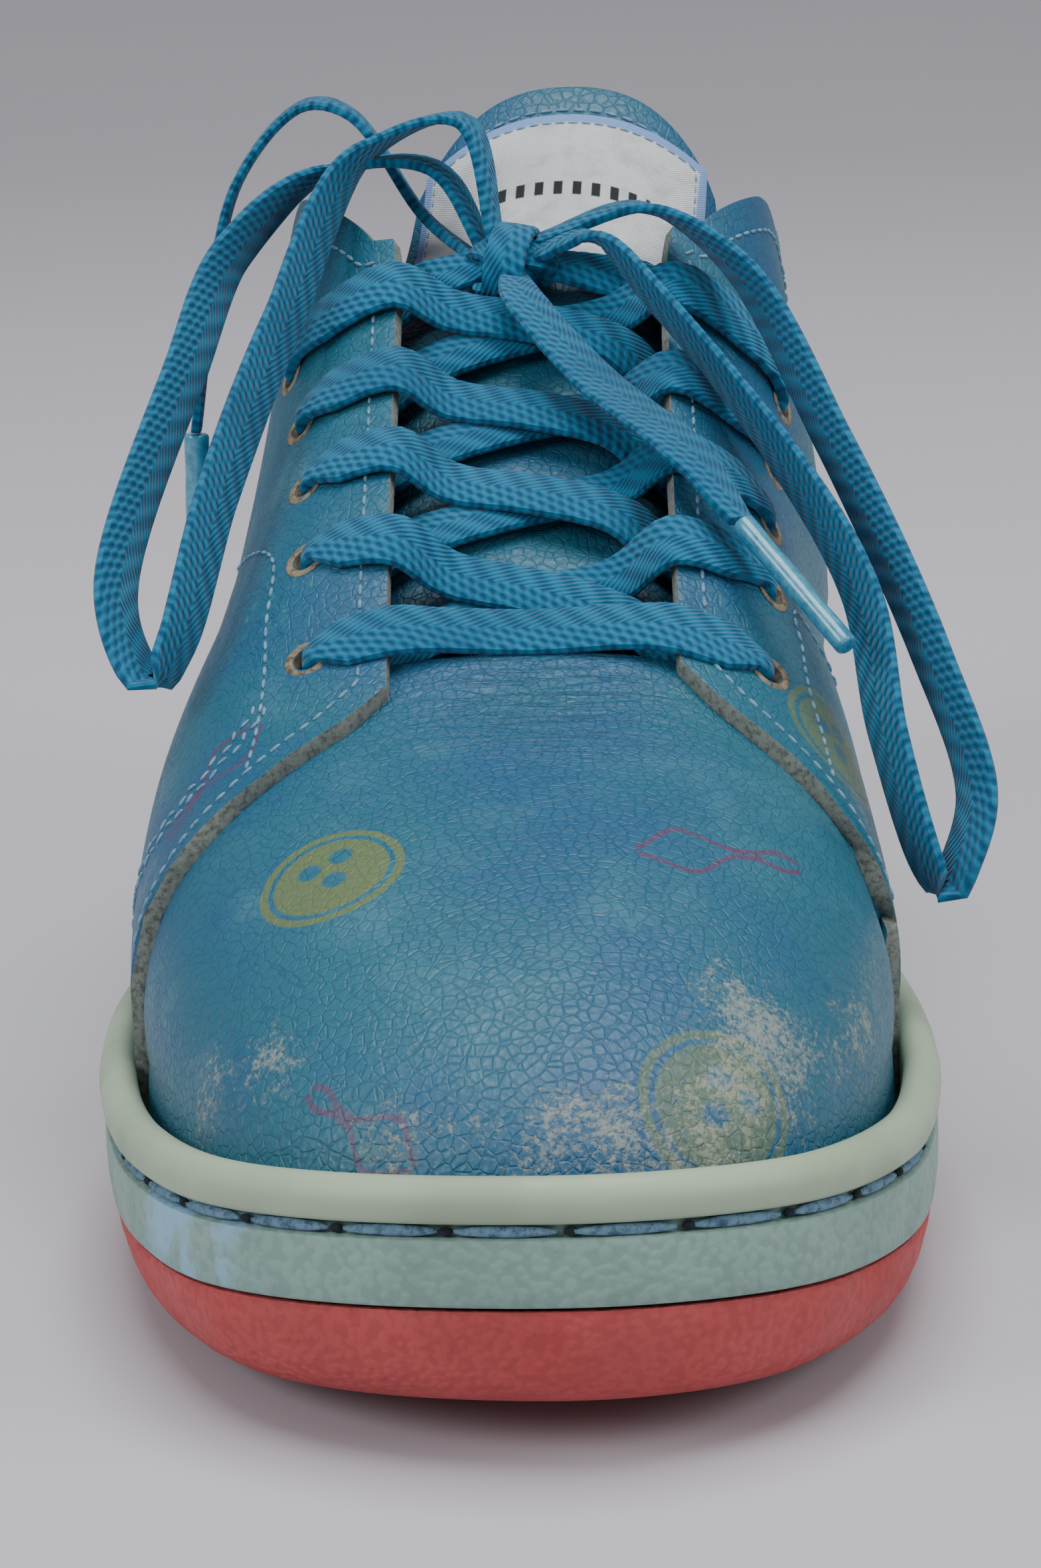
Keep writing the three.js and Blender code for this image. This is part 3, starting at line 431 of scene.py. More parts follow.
def on_tongue(d, v, offset):
    d, v = np.broadcast_arrays(np.asarray(d, float), np.asarray(v, float))
    across = tongue_point(d, v + 0.02) - tongue_point(d, v - 0.02)
    along = tongue_point(d + 0.4, v) - tongue_point(d - 0.4, v)
    return tongue_point(d, v) + unit(np.cross(across, along)) * np.asarray(offset, float)[..., None]


print("tongue tip: %s" % np.round(on_tongue(TONGUE_END, 0, 0), 1))

# %% [markdown]
# A flat lace is a tube of braid pressed flat. It could be a curve with a bevel, but a curve
# twists as it likes, and a shoelace lies flat to the leather. So each lace is a ring of corners
# carried from station to station, with its own width and its own way up at each of them.

# %% Ribbons
ROUND = 12


def ribbon_mesh(at, wide, out, width, thick):
    """A flat tube through the points at. wide and out are the ways across and up at each of them."""
    run = run_of(at)
    turn = np.arange(ROUND) / ROUND * 2 * math.pi
    ca, sa = np.cos(turn), np.sin(turn)
    ring_x = np.sign(ca) * np.abs(ca) ** 0.42
    ring_z = np.sign(sa) * np.abs(sa) ** 0.62
    bm = bmesh.new()
    bmesh.ops.create_circle(bm, cap_ends=False, segments=ROUND, radius=1)
    uv = bm.loops.layers.uv.new("cut")
    rings = [sorted(bm.verts, key=lambda v: math.atan2(v.co.y, v.co.x) % (2 * math.pi - 1e-6))]
    edges = list(bm.edges)
    for _ in range(1, len(at)):
        made = bmesh.ops.extrude_edge_only(bm, edges=edges)["geom"]
        edges = [g for g in made if isinstance(g, bmesh.types.BMEdge)]
        fresh = [g for g in made if isinstance(g, bmesh.types.BMVert)]
        follow = {}
        for v in fresh:
            for e in v.link_edges:
                other = e.other_vert(v)
                if other in rings[-1]:
                    follow[other] = v
        rings.append([follow[v] for v in rings[-1]])
    where = {}
    for i, ring in enumerate(rings):
        for k, v in enumerate(ring):
            where[v] = (i, k)
            v.co = at[i] + wide[i] * ring_x[k] * width[i] / 2 + out[i] * ring_z[k] * thick[i] / 2
    for face in bm.faces:
        for loop in face.loops:
            i, k = where[loop.vert]
            loop[uv].uv = (run[i] * MM, ring_x[k] * width[i] / 2 * MM)
    bmesh.ops.holes_fill(bm, edges=[e for e in bm.edges if e.is_boundary])
    bmesh.ops.recalc_face_normals(bm, faces=bm.faces)
    return bm


def smooth_track(at, values, per):
    """A rounded line through stations, with each station's other values eased along it."""
    line = through(at, per)
    t = np.linspace(0, len(at) - 1, len(line))
    return line, [np.stack([np.interp(t, np.arange(len(at)), np.asarray(v, float)[:, k])
                            for k in range(np.asarray(v).shape[1])], axis=1) for v in values]


LACE_SAMPLES = 5  # corners' rings between two stations of a laced strand


def shown_width(width):
    """Braid spreads where it lies flat, and stays narrow in a hole or a knot."""
    return width * (1 + 0.22 * np.clip((width - 4) / 2, 0, 1))


def lace_piece(name, at, out, width, stands_for, thick):
    width = shown_width(np.array(width))
    line, (out, width) = smooth_track(np.array(at), [np.array(out), width[:, None]], LACE_SAMPLES)
    along = unit(np.gradient(line, axis=0))
    out = unit(out - along * (out * along).sum(1)[:, None])
    wide = np.cross(along, out)
    thicker = thick * (1 + 0.5 * np.clip((5 - width[:, 0]) / 3, 0, 1))
    bm = ribbon_mesh(line, wide, out, width[:, 0], thicker)
    finished(name, bm, "teal_lace", stands_for)


print("corners round a lace:", ROUND)

# %% [markdown]
# A finish is a small network of nodes round one shader. The helper below keeps each call to a
# line: a value that is a socket is joined, and any other value is set on the node itself.
# Everything that is the same all over a surface stays on the shader's own sockets.

# %% Finishes: the helper
class Finish:
    def __init__(self, name, roughness, **sockets):
        self.material = bpy.data.materials.new(name)
        self.material.use_nodes = True
        self.tree = self.material.node_tree
        self.shader = self.tree.nodes["Principled BSDF"]
        self.shader.inputs["Roughness"].default_value = roughness
        for key, value in sockets.items():
            self.shader.inputs[key.replace("_", " ")].default_value = value
        self.where = self.node("TexCoord").outputs["Object"]
        PAINTS[name] = self.material

    def node(self, kind, **values):
        node = self.tree.nodes.new("ShaderNode" + kind)
        for key, value in values.items():
            if hasattr(node, key) and key not in node.inputs:
                setattr(node, key, value)
                continue
            numbered = key[0] == "i" and key[1:].isdigit()
            socket = node.inputs[int(key[1:]) if numbered else key.replace("_", " ")]
            if isinstance(value, bpy.types.NodeSocket):
                self.tree.links.new(value, socket)
            else:
                socket.default_value = value
        return node

    def noise(self, scale, detail=3.0, roughness=0.55, vector=None, distortion=0.0):
        made = self.node(
            "TexNoise", Vector=vector or self.where, Scale=scale, Detail=detail, Roughness=roughness,
            Distortion=distortion,
        )
        return made.outputs["Fac"]

    def cells(self, scale, feature="F1"):
        return self.node("TexVoronoi", feature=feature, Vector=self.where, Scale=scale).outputs["Distance"]

    def math(self, operation, a, b=0.0):
        return self.node("Math", operation=operation, i0=a, i1=b).outputs[0]

    def step(self, value, lo, hi, to_lo=0.0, to_hi=1.0):
        """A smooth step from to_lo to to_hi as value goes from lo to hi."""
        made = self.node(
            "MapRange", interpolation_type="SMOOTHSTEP", Value=value, From_Min=lo, From_Max=hi,
            To_Min=to_lo, To_Max=to_hi,
        )
        return made.outputs["Result"]

    def mix(self, a, b, share):
        made = self.node("Mix", data_type="RGBA", i0=share, i6=self.tint(a), i7=self.tint(b))
        return made.outputs[2]

    def tint(self, colour):
        return (*colour, 1.0) if isinstance(colour, tuple) and len(colour) == 3 else colour

    def part(self, vector, axis):
        return self.node("SeparateXYZ", Vector=vector).outputs[axis]

    def local(self, middle, across, up):
        """Flat coordinates, in metres, on a plane set against the surface at middle."""
        moved = self.node("VectorMath", operation="SUBTRACT", i0=self.where, i1=tuple(middle)).outputs[0]
        return [
            self.node("VectorMath", operation="DOT_PRODUCT", i0=moved, i1=tuple(axis)).outputs["Value"]
            for axis in (across, up, np.cross(across, up))
        ]

    def near(self, middle, radius, fade):
        """1 inside a ball round middle, fading to 0."""
        gap = self.node("VectorMath", operation="DISTANCE", i0=self.where, i1=tuple(middle)).outputs["Value"]
        return self.step(gap, radius - fade, radius + fade, 1.0, 0.0)

    def bump(self, height, depth, normal=None):
        values = {"Height": height, "Distance": depth, "Strength": 1.0}
        if normal:
            values["Normal"] = normal
        return self.node("Bump", **values).outputs["Normal"]

    def wear(self, colour=None, roughness=None, normal=None):
        for key, value in (("Base Color", colour), ("Roughness", roughness), ("Normal", normal)):
            if value is None:
                continue
            if isinstance(value, bpy.types.NodeSocket):
                self.tree.links.new(value, self.shader.inputs[key])
            else:
                self.shader.inputs[key].default_value = self.tint(value)


def rgb(code):
    """A shader colour from a six-digit colour code."""
    share = [int(code[k : k + 2], 16) / 255 for k in (0, 2, 4)]
    return tuple(s / 12.92 if s <= 0.04045 else ((s + 0.055) / 1.055) ** 2.4 for s in share)


def at_mm(x, d, z):
    """A place given by its distance across, from the toe and up, in metres."""
    return np.array([(x + MIDDLE) * MM, (d - HALF_LENGTH) * MM, z * MM])


print("finish helper ready")

# %% [markdown]
# The printed motifs are plain ones, a ball with three finger holes and a pin in outline. Each is
# drawn by arithmetic on a small plane laid against the leather, so no image is needed and it sits
# at its real size, about 20 mm. Old prints are rubbed, so noise eats into them.

# %% Prints
def printed_ball(f, u, v, size):
    """A disc with three finger holes and a rim, as a mask."""
    r = f.math("SQRT", f.math("ADD", f.math("MULTIPLY", u, u), f.math("MULTIPLY", v, v)))
    disc = f.step(r, size - 0.0002, size + 0.0002, 1.0, 0.0)
    ring = f.math("ABSOLUTE", f.math("SUBTRACT", r, size * 0.84))
    disc = f.math("MULTIPLY", disc, f.step(ring, 0.0002, 0.0006))
    for x, y in ((-0.22, 0.28), (0.24, 0.34), (0.02, -0.14)):
        dx, dy = f.math("SUBTRACT", u, x * size), f.math("SUBTRACT", v, y * size)
        hole = f.math("SQRT", f.math("ADD", f.math("MULTIPLY", dx, dx), f.math("MULTIPLY", dy, dy)))
        disc = f.math("MULTIPLY", disc, f.step(hole, size * 0.13, size * 0.2))
    return disc


def printed_pin(f, u, v, size):
    """The outline of a pin with two bands round its neck, as a mask."""
    t = f.math("DIVIDE", v, size)
    belly = f.math("MULTIPLY", f.step(f.math("ABSOLUTE", f.math("ADD", t, 0.42)), 0.0, 0.62, 1.0, 0.0), 0.36)
    above = f.math("ABSOLUTE", f.math("SUBTRACT", t, 0.74))
    head = f.math("MULTIPLY", f.step(above, 0.0, 0.34, 1.0, 0.0), 0.1)
    wide = f.math("MULTIPLY", f.math("ADD", f.math("ADD", belly, head), 0.1), size)
    gap = f.math("SUBTRACT", f.math("ABSOLUTE", u), wide)
    inside = f.step(gap, -0.00015, 0.00015, 1.0, 0.0)
    core = f.step(gap, -0.0011, -0.0008, 1.0, 0.0)
    line = f.math("SUBTRACT", inside, core)
    from_neck = f.math("ABSOLUTE", f.math("SUBTRACT", t, 0.36))
    bands = f.step(f.math("ABSOLUTE", f.math("SUBTRACT", from_neck, 0.1)), 0.025, 0.05, 1.0, 0.0)
    mask = f.math("MAXIMUM", line, f.math("MULTIPLY", bands, inside))
    ends = f.step(f.math("ABSOLUTE", t), 0.97, 1.0, 1.0, 0.0)
    return f.math("MULTIPLY", mask, ends)


OLIVE, MAROON = rgb("66764A"), rgb("5E4260")
# place (across, from the toe, up), ball or pin, half its size in mm, turn in degrees, ink left
PRINTS = [
    (-22.4, 54.0, 57.8, "ball", 9.5, 12, 0.9),
    (25.4, 56.6, 58.7, "pin", 11.0, -70, 0.9),
    (23.8, 16.8, 39.5, "ball", 10.0, -10, 0.6),
    (-17.5, 16.0, 38.3, "pin", 9.0, 20, 0.7),
    (-39.6, 88.8, 61.1, "pin", 10.0, 118, 0.85),
    (40.9, 100.5, 60.2, "ball", 9.5, 40, 0.7),
    (-48.0, 120.0, 55.0, "ball", 9.0, 0, 0.8),
    (-46.0, 165.0, 55.0, "pin", 11.0, 60, 0.85),
    (47.0, 160.0, 55.0, "pin", 11.0, -60, 0.85),
    (-42.0, 215.0, 55.0, "ball", 10.0, 0, 0.85),
    (42.0, 215.0, 55.0, "ball", 10.0, 20, 0.85),
    (-37.5, 262.0, 58.0, "pin", 10.0, 20, 0.85),
    (36.5, 262.0, 58.0, "pin", 10.0, -20, 0.85),
]


def print_plane(x, d, z, turn):
    points, normals = nearest([(x, d, z)], 1 if x > 3 else -1, VAMP[1] if d < 80 else QUARTER[1])
    point, normal = points[0], normals[0]
    ahead = np.array([0.0, 1.0, 0.0]) if d < 110 else np.array([0.0, 0.0, 1.0])
    up = unit(ahead - normal * (ahead @ normal))
    across = np.cross(up, normal)
    a = math.radians(turn)
    across, up = across * math.cos(a) + up * math.sin(a), up * math.cos(a) - across * math.sin(a)
    return (point + (MIDDLE, 0, 0)) * MM, across, up


def prints(f, colour, rub, which):
    for x, d, z, kind, half, turn, ink in which:
        middle, across, up = print_plane(x, d, z, turn)
        u, v, w = f.local(middle, across, up)
        mask = (printed_ball if kind == "ball" else printed_pin)(f, u, v, half * MM)
        mask = f.math("MULTIPLY", mask, f.step(f.math("ABSOLUTE", w), 0.008, 0.011, 1.0, 0.0))
        mask = f.math("MULTIPLY", mask, f.step(rub, 0.38 + 0.25 * ink, 0.56 + 0.25 * ink, ink, 0.0))
        colour = f.mix(colour, OLIVE if kind == "ball" else MAROON, mask)
    return colour


print("prints:", len(PRINTS))

# %% [markdown]
# The leather is a corrected grain: blue paint over a fine pebble. It could be one flat blue with
# a bump, but worn leather is mottled, its grain opens at the flex line, and the toe has lost its
# paint in dry cream patches. Those patches sit where toes get kicked, so each is a ball of noise.
# The valleys of the folds at the flex line are painted a little darker, as painted shade.

# %% Leather
BLUE, DEEP, LIGHT = rgb("2A667A"), rgb("265A7E"), rgb("467C8D")
CREAM, STAIN = rgb("B9B9A0"), rgb("3F8F86")
SCUFFS = [
    ((-36, 36, 36), 13, 0.62), ((-27, 28, 42), 10, 0.5), ((-14, 13, 38), 13, 0.55), ((4, 11, 39), 13, 0.5),
    ((19, 12, 38), 17, 0.6), ((31, 24, 40), 17, 0.56), ((42, 42, 38), 14, 0.55), ((46, 58, 42), 13, 0.5),
    ((26, 32, 49), 14, 0.42), ((-46, 62, 42), 10, 0.42),
]


def leather(name, which, scuffs=(), creases_with_shade=False):
    f = Finish(name, 0.45, Specular_IOR_Level=0.42)
    cloud = f.noise(26, 4)
    colour = f.mix(BLUE, DEEP, f.step(cloud, 0.42, 0.66))
    colour = f.mix(colour, LIGHT, f.step(f.noise(60, 5, 0.6), 0.5, 0.8, 0.0, 0.75))
    fine = f.noise(900, 3, 0.7)
    colour = f.mix(colour, DEEP, f.step(fine, 0.52, 0.75, 0.0, 0.35))
    grain = f.cells(1150, "F1")
    crack = f.cells(620, "DISTANCE_TO_EDGE")
    colour = f.mix(colour, rgb("1E4C63"), f.step(crack, 0.0, 0.09, 0.4, 0.0))
    rub = f.noise(520, 6, 0.75)
    stain = f.math("MULTIPLY", f.near(at_mm(-35, 112, 80), 0.009, 0.006), f.step(rub, 0.5, 0.7, 0.0, 0.5))
    colour = f.mix(colour, STAIN, stain)
    colour = prints(f, colour, rub, which)
    dry = None
    streak = f.noise(140, 7, 0.72, distortion=0.4)
    for (x, d, z), radius, amount in scuffs:
        mask = f.near(at_mm(x, d, z), radius * 0.62 * MM, radius * 0.5 * MM)
        mask = f.math("MULTIPLY", mask, amount)
        dry = f.math("ADD", dry, mask) if dry is not None else mask
    height = f.math("ADD", f.math("MULTIPLY", grain, 0.6), f.math("MULTIPLY", f.step(crack, 0.0, 0.12), 0.5))
    rough = f.step(fine, 0.3, 0.75, 0.36, 0.52)
    if dry is not None:
        speck = f.math("MULTIPLY", f.noise(1100, 5, 0.8), 1.1)
        worn = f.math("ADD", speck, f.math("MULTIPLY", dry, 0.5))
        mark = f.math("ADD", f.math("MULTIPLY", streak, 0.7), worn)
        mark = f.math("MULTIPLY", f.step(mark, 1.14, 1.34, 0.0, 0.44), f.step(dry, 0.02, 0.24))
        colour = f.mix(colour, CREAM, mark)
        rough = f.math("ADD", rough, f.math("MULTIPLY", mark, 0.4))
        height = f.math("SUBTRACT", height, f.math("MULTIPLY", mark, 0.5))
    normal = f.bump(height, 0.00015)
    if creases_with_shade:
        folds = f.node("Mapping", Vector=f.where, Scale=(0.16, 1.0, 0.5)).outputs[0]
        lines = f.noise(620, 4, 0.6, folds, 0.8)
        zone = f.near(at_mm(4, 92, 66), 0.014, 0.012)
        fold = f.math("MULTIPLY", f.step(lines, 0.4, 0.56), zone)
        normal = f.bump(fold, 0.00028, normal)
        # painted shade: the fold valleys at the flex line are coloured a little darker
        colour = f.mix(colour, rgb("2A6478"), f.math("MULTIPLY", f.step(lines, 0.34, 0.46, 0.5, 0.0), zone))
    f.wear(colour, rough, normal)


leather("vamp_leather", [p for p in PRINTS if p[1] < 80], SCUFFS, True)
leather("blue_leather", [p for p in PRINTS if p[1] > 80], [((46, 92, 58), 12, 0.4), ((-50, 84, 36), 8, 0.4)])
print("leathers:", sorted(PAINTS))

# %% [markdown]
# The rest of the finishes are short. Rubber is pebbled by cells, cloth is woven by crossed waves
# along its own cut, braid is the same waves set at a slant, and a raw leather edge is all fibre.

# %% Rubber
def rubber(name, main, dirt, pebble, depth, grime=0.25):
    f = Finish(name, 0.62, Specular_IOR_Level=0.35)
    colour = f.mix(main, tuple(c * 0.86 for c in main), f.step(f.noise(45, 4), 0.4, 0.7))
    colour = f.mix(colour, dirt, f.step(f.noise(70, 8, 0.75), 0.52, 0.8, 0.0, grime))
    fine = f.noise(1500, 2, 0.6)
    height = f.math("MULTIPLY", fine, 0.25)
    if pebble:
        lump = f.step(f.cells(pebble, "SMOOTH_F1"), 0.15, 0.62, 1.0, 0.0)
        height = f.math("ADD", height, lump)
        # painted shade: the hollows between the pebbles are coloured darker
        colour = f.mix(colour, tuple(c * 0.62 for c in main), f.step(lump, 0.0, 0.35, 0.4, 0.0))
    return f, colour, height, depth


MINT, MINT_DIRT = rgb("89A89E"), rgb("87947C")
for name, main, pebble, depth in (
    ("mint_rubber", MINT, 850, 0.00014), ("mint_lip", rgb("A5B69C"), 0, 0.00006),
):
    f, colour, height, depth = rubber(name, main, MINT_DIRT, pebble, depth)
    if name == "mint_rubber":
        patchy = f.step(f.noise(110, 5), 0.44, 0.56, 0.0, 0.85)
        smear = f.math("MULTIPLY", f.near(at_mm(-38, 26, 25), 0.013, 0.006), patchy)
        colour = f.mix(colour, rgb("8FBBD6"), smear)
    f.wear(colour, f.step(f.noise(90, 5), 0.35, 0.7, 0.42, 0.66), f.bump(height, depth))
f, colour, height, depth = rubber("coral_rubber", rgb("BF504F"), rgb("8F3E3D"), 900, 0.00018, 0.4)
f.wear(colour, f.step(f.noise(80, 5), 0.35, 0.7, 0.55, 0.8), f.bump(height, depth))

# %% Cloth, thread and foam
def woven(name, main, shade, pitch, slant=False, depth=0.00012, fuzz=0.25):
    """Two sets of yarns that pass over and under each other, along the piece's own cut."""
    f = Finish(name, 0.88, Sheen_Weight=fuzz, Sheen_Roughness=0.5, Specular_IOR_Level=0.2)
    cut = f.node("UVMap", uv_map="cut").outputs[0]
    u, v = f.part(cut, 0), f.part(cut, 1)
    if slant:
        u, v = f.math("ADD", u, f.math("MULTIPLY", f.math("ABSOLUTE", v), 1.15)), v
    a = f.math("SINE", f.math("MULTIPLY", u, 2 * math.pi / pitch))
    b = f.math("SINE", f.math("MULTIPLY", v, 2 * math.pi / (pitch * (0.62 if slant else 1.0))))
    if slant:
        along = f.math("MULTIPLY", v, 2 * math.pi / (pitch * 0.95))
        b = f.math("SINE", f.math("ADD", along, f.math("MULTIPLY", u, math.pi / pitch)))
    height = f.math("ADD", f.math("MULTIPLY", f.math("MULTIPLY", a, b), 0.5), 0.5)
    fibre = f.noise(2600, 3, 0.7)
    height = f.math("ADD", height, f.math("MULTIPLY", fibre, 0.35))
    # painted shade: the dips of the weave take the darker shade colour; the next line also uses that colour
    # to mottle the cloth at random
    colour = f.mix(shade, main, f.step(height, 0.25, 0.95))
    colour = f.mix(colour, shade, f.step(f.noise(55, 4), 0.45, 0.75, 0.0, 0.45))
    f.wear(colour, None, f.bump(height, depth))


woven("teal_lace", rgb("19759A"), rgb("0E4C6F"), 0.0022, True, 0.00032, 0.15)
woven("coral_textile", rgb("D07A73"), rgb("A85450"), 0.0009, False, 0.0001, 0.3)


def simple(name, main, shade, scale, roughness, depth, **sockets):
    f = Finish(name, roughness, **sockets)
    blot = f.noise(scale, 5, 0.7)
    fine = f.noise(scale * 9, 3, 0.7)
    colour = f.mix(main, shade, f.step(blot, 0.4, 0.68))
    colour = f.mix(colour, shade, f.step(fine, 0.5, 0.8, 0.0, 0.6))
    f.wear(colour, None, f.bump(f.math("ADD", fine, f.math("MULTIPLY", blot, 0.5)), depth))


simple("green_suede", rgb("98A497"), rgb("3C4A40"), 1100, 0.95, 0.0004, Sheen_Weight=0.4)
simple("grey_thread", rgb("7FA6BC"), rgb("4F7C98"), 900, 0.75, 0.0001)
simple("sole_thread", rgb("6F93AB"), rgb("33506A"), 900, 0.7, 0.0001)
# painted shade: a near-black finish for the shadow inside the needle holes
simple("needle_hole_shade", rgb("1C2A33"), rgb("0B1218"), 900, 0.9, 0.0001)
simple("hole_rim", rgb("A5937A"), rgb("5D5040"), 900, 0.9, 0.0002)
simple("white_foam", rgb("D8D6CF"), rgb("B9B5A8"), 700, 0.95, 0.0003)
simple("brown_board", rgb("B59F7C"), rgb("8A744F"), 300, 0.9, 0.0001)
simple("stiffener", rgb("CFC6B4"), rgb("A99F8A"), 300, 0.75, 0.0001)
simple(
    "clear_tip", rgb("4E9DB8"), rgb("2A7598"), 500, 0.16, 0.00002, Coat_Weight=0.6, Coat_Roughness=0.08,
)
print("finishes:", len(PAINTS))

# %% [markdown]
# The lace starts as a bar over the lowest row, crosses four times and meets in the knot. Its
# stations come from the eyelets themselves: out of a hole, flat over the leather to the edge of
# the throat, across the tongue, and down into the next hole.

# %% Lace stations
EYELET_ROWS, LACED_ROWS, EYELET_PITCH, FIRST_EYELET, EYELET_HALF = 6, 5, 15.0, 103.5, 28.0
EYELET_RADIUS = 2.4
OVER = QUARTER[1] + GAP + 0.35 + LACE_THICKNESS / 2
UNDER = LINING[0] - GAP - 0.6 - LACE_THICKNESS / 2
HOLE_MIDDLE = (LINING[0] + QUARTER[1]) / 2
PAST_EDGE, SWAP = 2.3, 11.4
LEAVE_OVER = [
    (0, HOLE_MIDDLE + GAP / 2, LACE_IN_HOLE), (0, OVER - 1.9, LACE_IN_HOLE),
    (0.45, OVER - 0.75, LACE_IN_HOLE),
    (1.4, OVER - 0.1, LACE_IN_HOLE + 0.6), (2.8, OVER, LACE_IN_HOLE + 2.2), (4.8, OVER, LACE_WIDTH),
]
LEAVE_UNDER = [
    (0, HOLE_MIDDLE - GAP / 2, LACE_IN_HOLE), (0, UNDER + 1.9, LACE_IN_HOLE),
    (0.45, UNDER + 0.75, LACE_IN_HOLE),
    (1.4, UNDER + 0.1, LACE_IN_HOLE + 0.6), (2.8, UNDER, LACE_IN_HOLE + 2.2), (4.8, UNDER, LACE_WIDTH),
]


def throat_at(d):
    return THROAT_HALF + THROAT_FLARE * ease(FLARE_START, CORNER_AT, d)


def eyelet_at(side, row):
    d = FIRST_EYELET + row * EYELET_PITCH
    return np.array([float(ridge_x(d)) + side * (EYELET_HALF + 5 * float(ease(2, EYELET_ROWS, row))), d])


def from_eyelet(profile, side, row, toward):
    start = eyelet_at(side, row)
    way = unit(toward - start)
    stop = (abs(start[0] - float(ridge_x(start[1]))) - float(throat_at(start[1])) + PAST_EDGE) / abs(way[0])
    found = []
    for run, offset, width in [*profile, (stop, profile[-1][1], LACE_WIDTH)]:
        x, d = start + way * run
        lift = 0.2 * row if offset > HOLE_MIDDLE + 2 else 0
        point, normal = surface_at(x, d, offset + lift)
        found.append((point, normal, width))
    return found


def crossing(side, row, end_row, profile, middle):
    start, end = eyelet_at(side, row), eyelet_at(-side, end_row)
    first = from_eyelet(profile, side, row, end)
    last = from_eyelet(LEAVE_OVER, -side, end_row, start)[::-1]
    inside = []
    for x, offset in middle:
        over = float(ridge_x(start[1])) + side * x
        d = start[1] + (end[1] - start[1]) * (over - start[0]) / (end[0] - start[0])
        point, normal = surface_at(over, d, offset)
        inside.append((point, normal, CROSSING_WIDTH))
    return first, inside, last


def upright(stations):
    """The way up at each station: square to the lace, and turning with it through a hole."""
    at = np.array([s[0] for s in stations])
    out = np.array([s[1] for s in stations])
    along = unit(np.gradient(at, axis=0))
    travel = unit(at[-1] - at[0])
    across = unit(np.cross(travel, unit(out.mean(0))))
    level = np.abs((out * along).sum(1)) < 0.75
    wide = np.where(level[:, None], unit(np.cross(along, out)), across[None])
    wide = np.where(((wide * across).sum(1) < 0)[:, None], -wide, wide)
    return at, unit(np.cross(wide, along)), np.array([s[2] for s in stations], float)


print("eyelets: %s" % [tuple(np.round(eyelet_at(1, r), 1)) for r in range(EYELET_ROWS)])

# %% [markdown]
# The knot's place decides where the loose parts of the lace start, so it comes before them. The
# four strands that leave it, two loops and two ends, are loose, each with the length of lace that it
# holds, and the ends carry their tips.

# %% Loose lace
KNOT_AT, KNOT_SIZE = 168.0, (8.0, 4.6, 5.6)
knot_base = on_tongue(KNOT_AT, -0.15, 0)
knot_out = unit(on_tongue(KNOT_AT, -0.15, 1) - knot_base)
knot_middle = knot_base + knot_out * (KNOT_SIZE[1] + GAP)


def in_knot(dx=0.0, dd=0.0, dz=0.0):
    return (knot_middle[0] + dx, knot_middle[1] + HALF_LENGTH + dd, knot_middle[2] + dz, 3.5)


LOOSE = {
    "bow_loop_lateral": [
        in_knot(-2, 0, 2), (-7.5, 173, 137, 5), (-22, 171, 132.5), (-33, 150, 111.8), (-41, 126, 92),
        (-46, 109, 75), (-49, 105.5, 70.5), (-52, 108, 74), (-54, 113, 82), (-46, 141, 107),
        (-40, 158, 121), (-27, 173, 130), (-12, 176, 130, 5), in_knot(-3, 2, 0),
    ],
    "bow_loop_medial": [
        in_knot(3, -1, 1), (11, 158, 121.5, 4), (19.8, 148, 114, 6), (36, 130, 95), (45.8, 112, 79),
        (48.5, 98, 63), (53, 88, 47.5), (55, 86.5, 44.5), (57, 87, 48), (59.5, 91, 56),
        (54.7, 105, 72), (43.5, 131, 96), (31, 153, 117.5), (18, 162, 125, 5), in_knot(4, 1, 3),
    ],
    "lace_end_medial": [
        in_knot(0, -2, -1), (1.5, 151, 113.5, 6), (11, 138, 104.5), (23, 122, 97), (30, 113, 89, 4),
    ],
    "lace_end_lateral": [
        in_knot(-4, 2, -0.5), (-14, 178.6, 123, 4), (-24, 184, 137, 5), (-32, 189, 138),
        (-42, 190, 127), (-47.5, 189, 105), (-50, 190, 90, 4),
    ],
}
LAY = {
    "bow_loop_lateral": (0.5, 1, 0), "bow_loop_medial": (-0.5, 1, 0),
    "lace_end_medial": (0.7, 0.7, 0), "lace_end_lateral": (0, 1, 0),
}
TIPS = {"medial": (44.5, 97, 73.5), "lateral": (-51, 190, 64)}
AGLET_LENGTH, AGLET_RADIUS = 24.0, 1.9


def loose_lace(name):
    stations = LOOSE[name]
    at = np.array([(x, d - HALF_LENGTH, z) for x, d, z, *_ in stations])
    width = shown_width(np.array([s[3] if len(s) > 3 else LACE_WIDTH for s in stations], float))
    line, (width,) = smooth_track(at, [width[:, None]], 14)
    count = max(40, int(run_of(line)[-1] / 1.5))
    wanted = np.linspace(0, run_of(line)[-1], count + 1)
    width = np.interp(wanted, run_of(line), width[:, 0])
    line = evenly(line, count)
    along = unit(np.gradient(line, axis=0))
    lay = unit(np.array(LAY[name], float))
    wide = unit(lay - along * (along @ lay)[:, None])
    out = np.cross(wide, along)
    bm = ribbon_mesh(line, wide, out, width, np.full(len(line), 1.6))
    piece = finished(name + "_braid", bm, "teal_lace", [name])
    metres = (line + (MIDDLE, 0, 0)) * MM
    return piece, metres, float(run_of(metres)[-1])

# %% [markdown]
# A lace tip is a strip of clear film shrunk round the end of the braid. It is a cylinder whose
# ends are rolled over with a bevel, pressed a little flat as the film is.

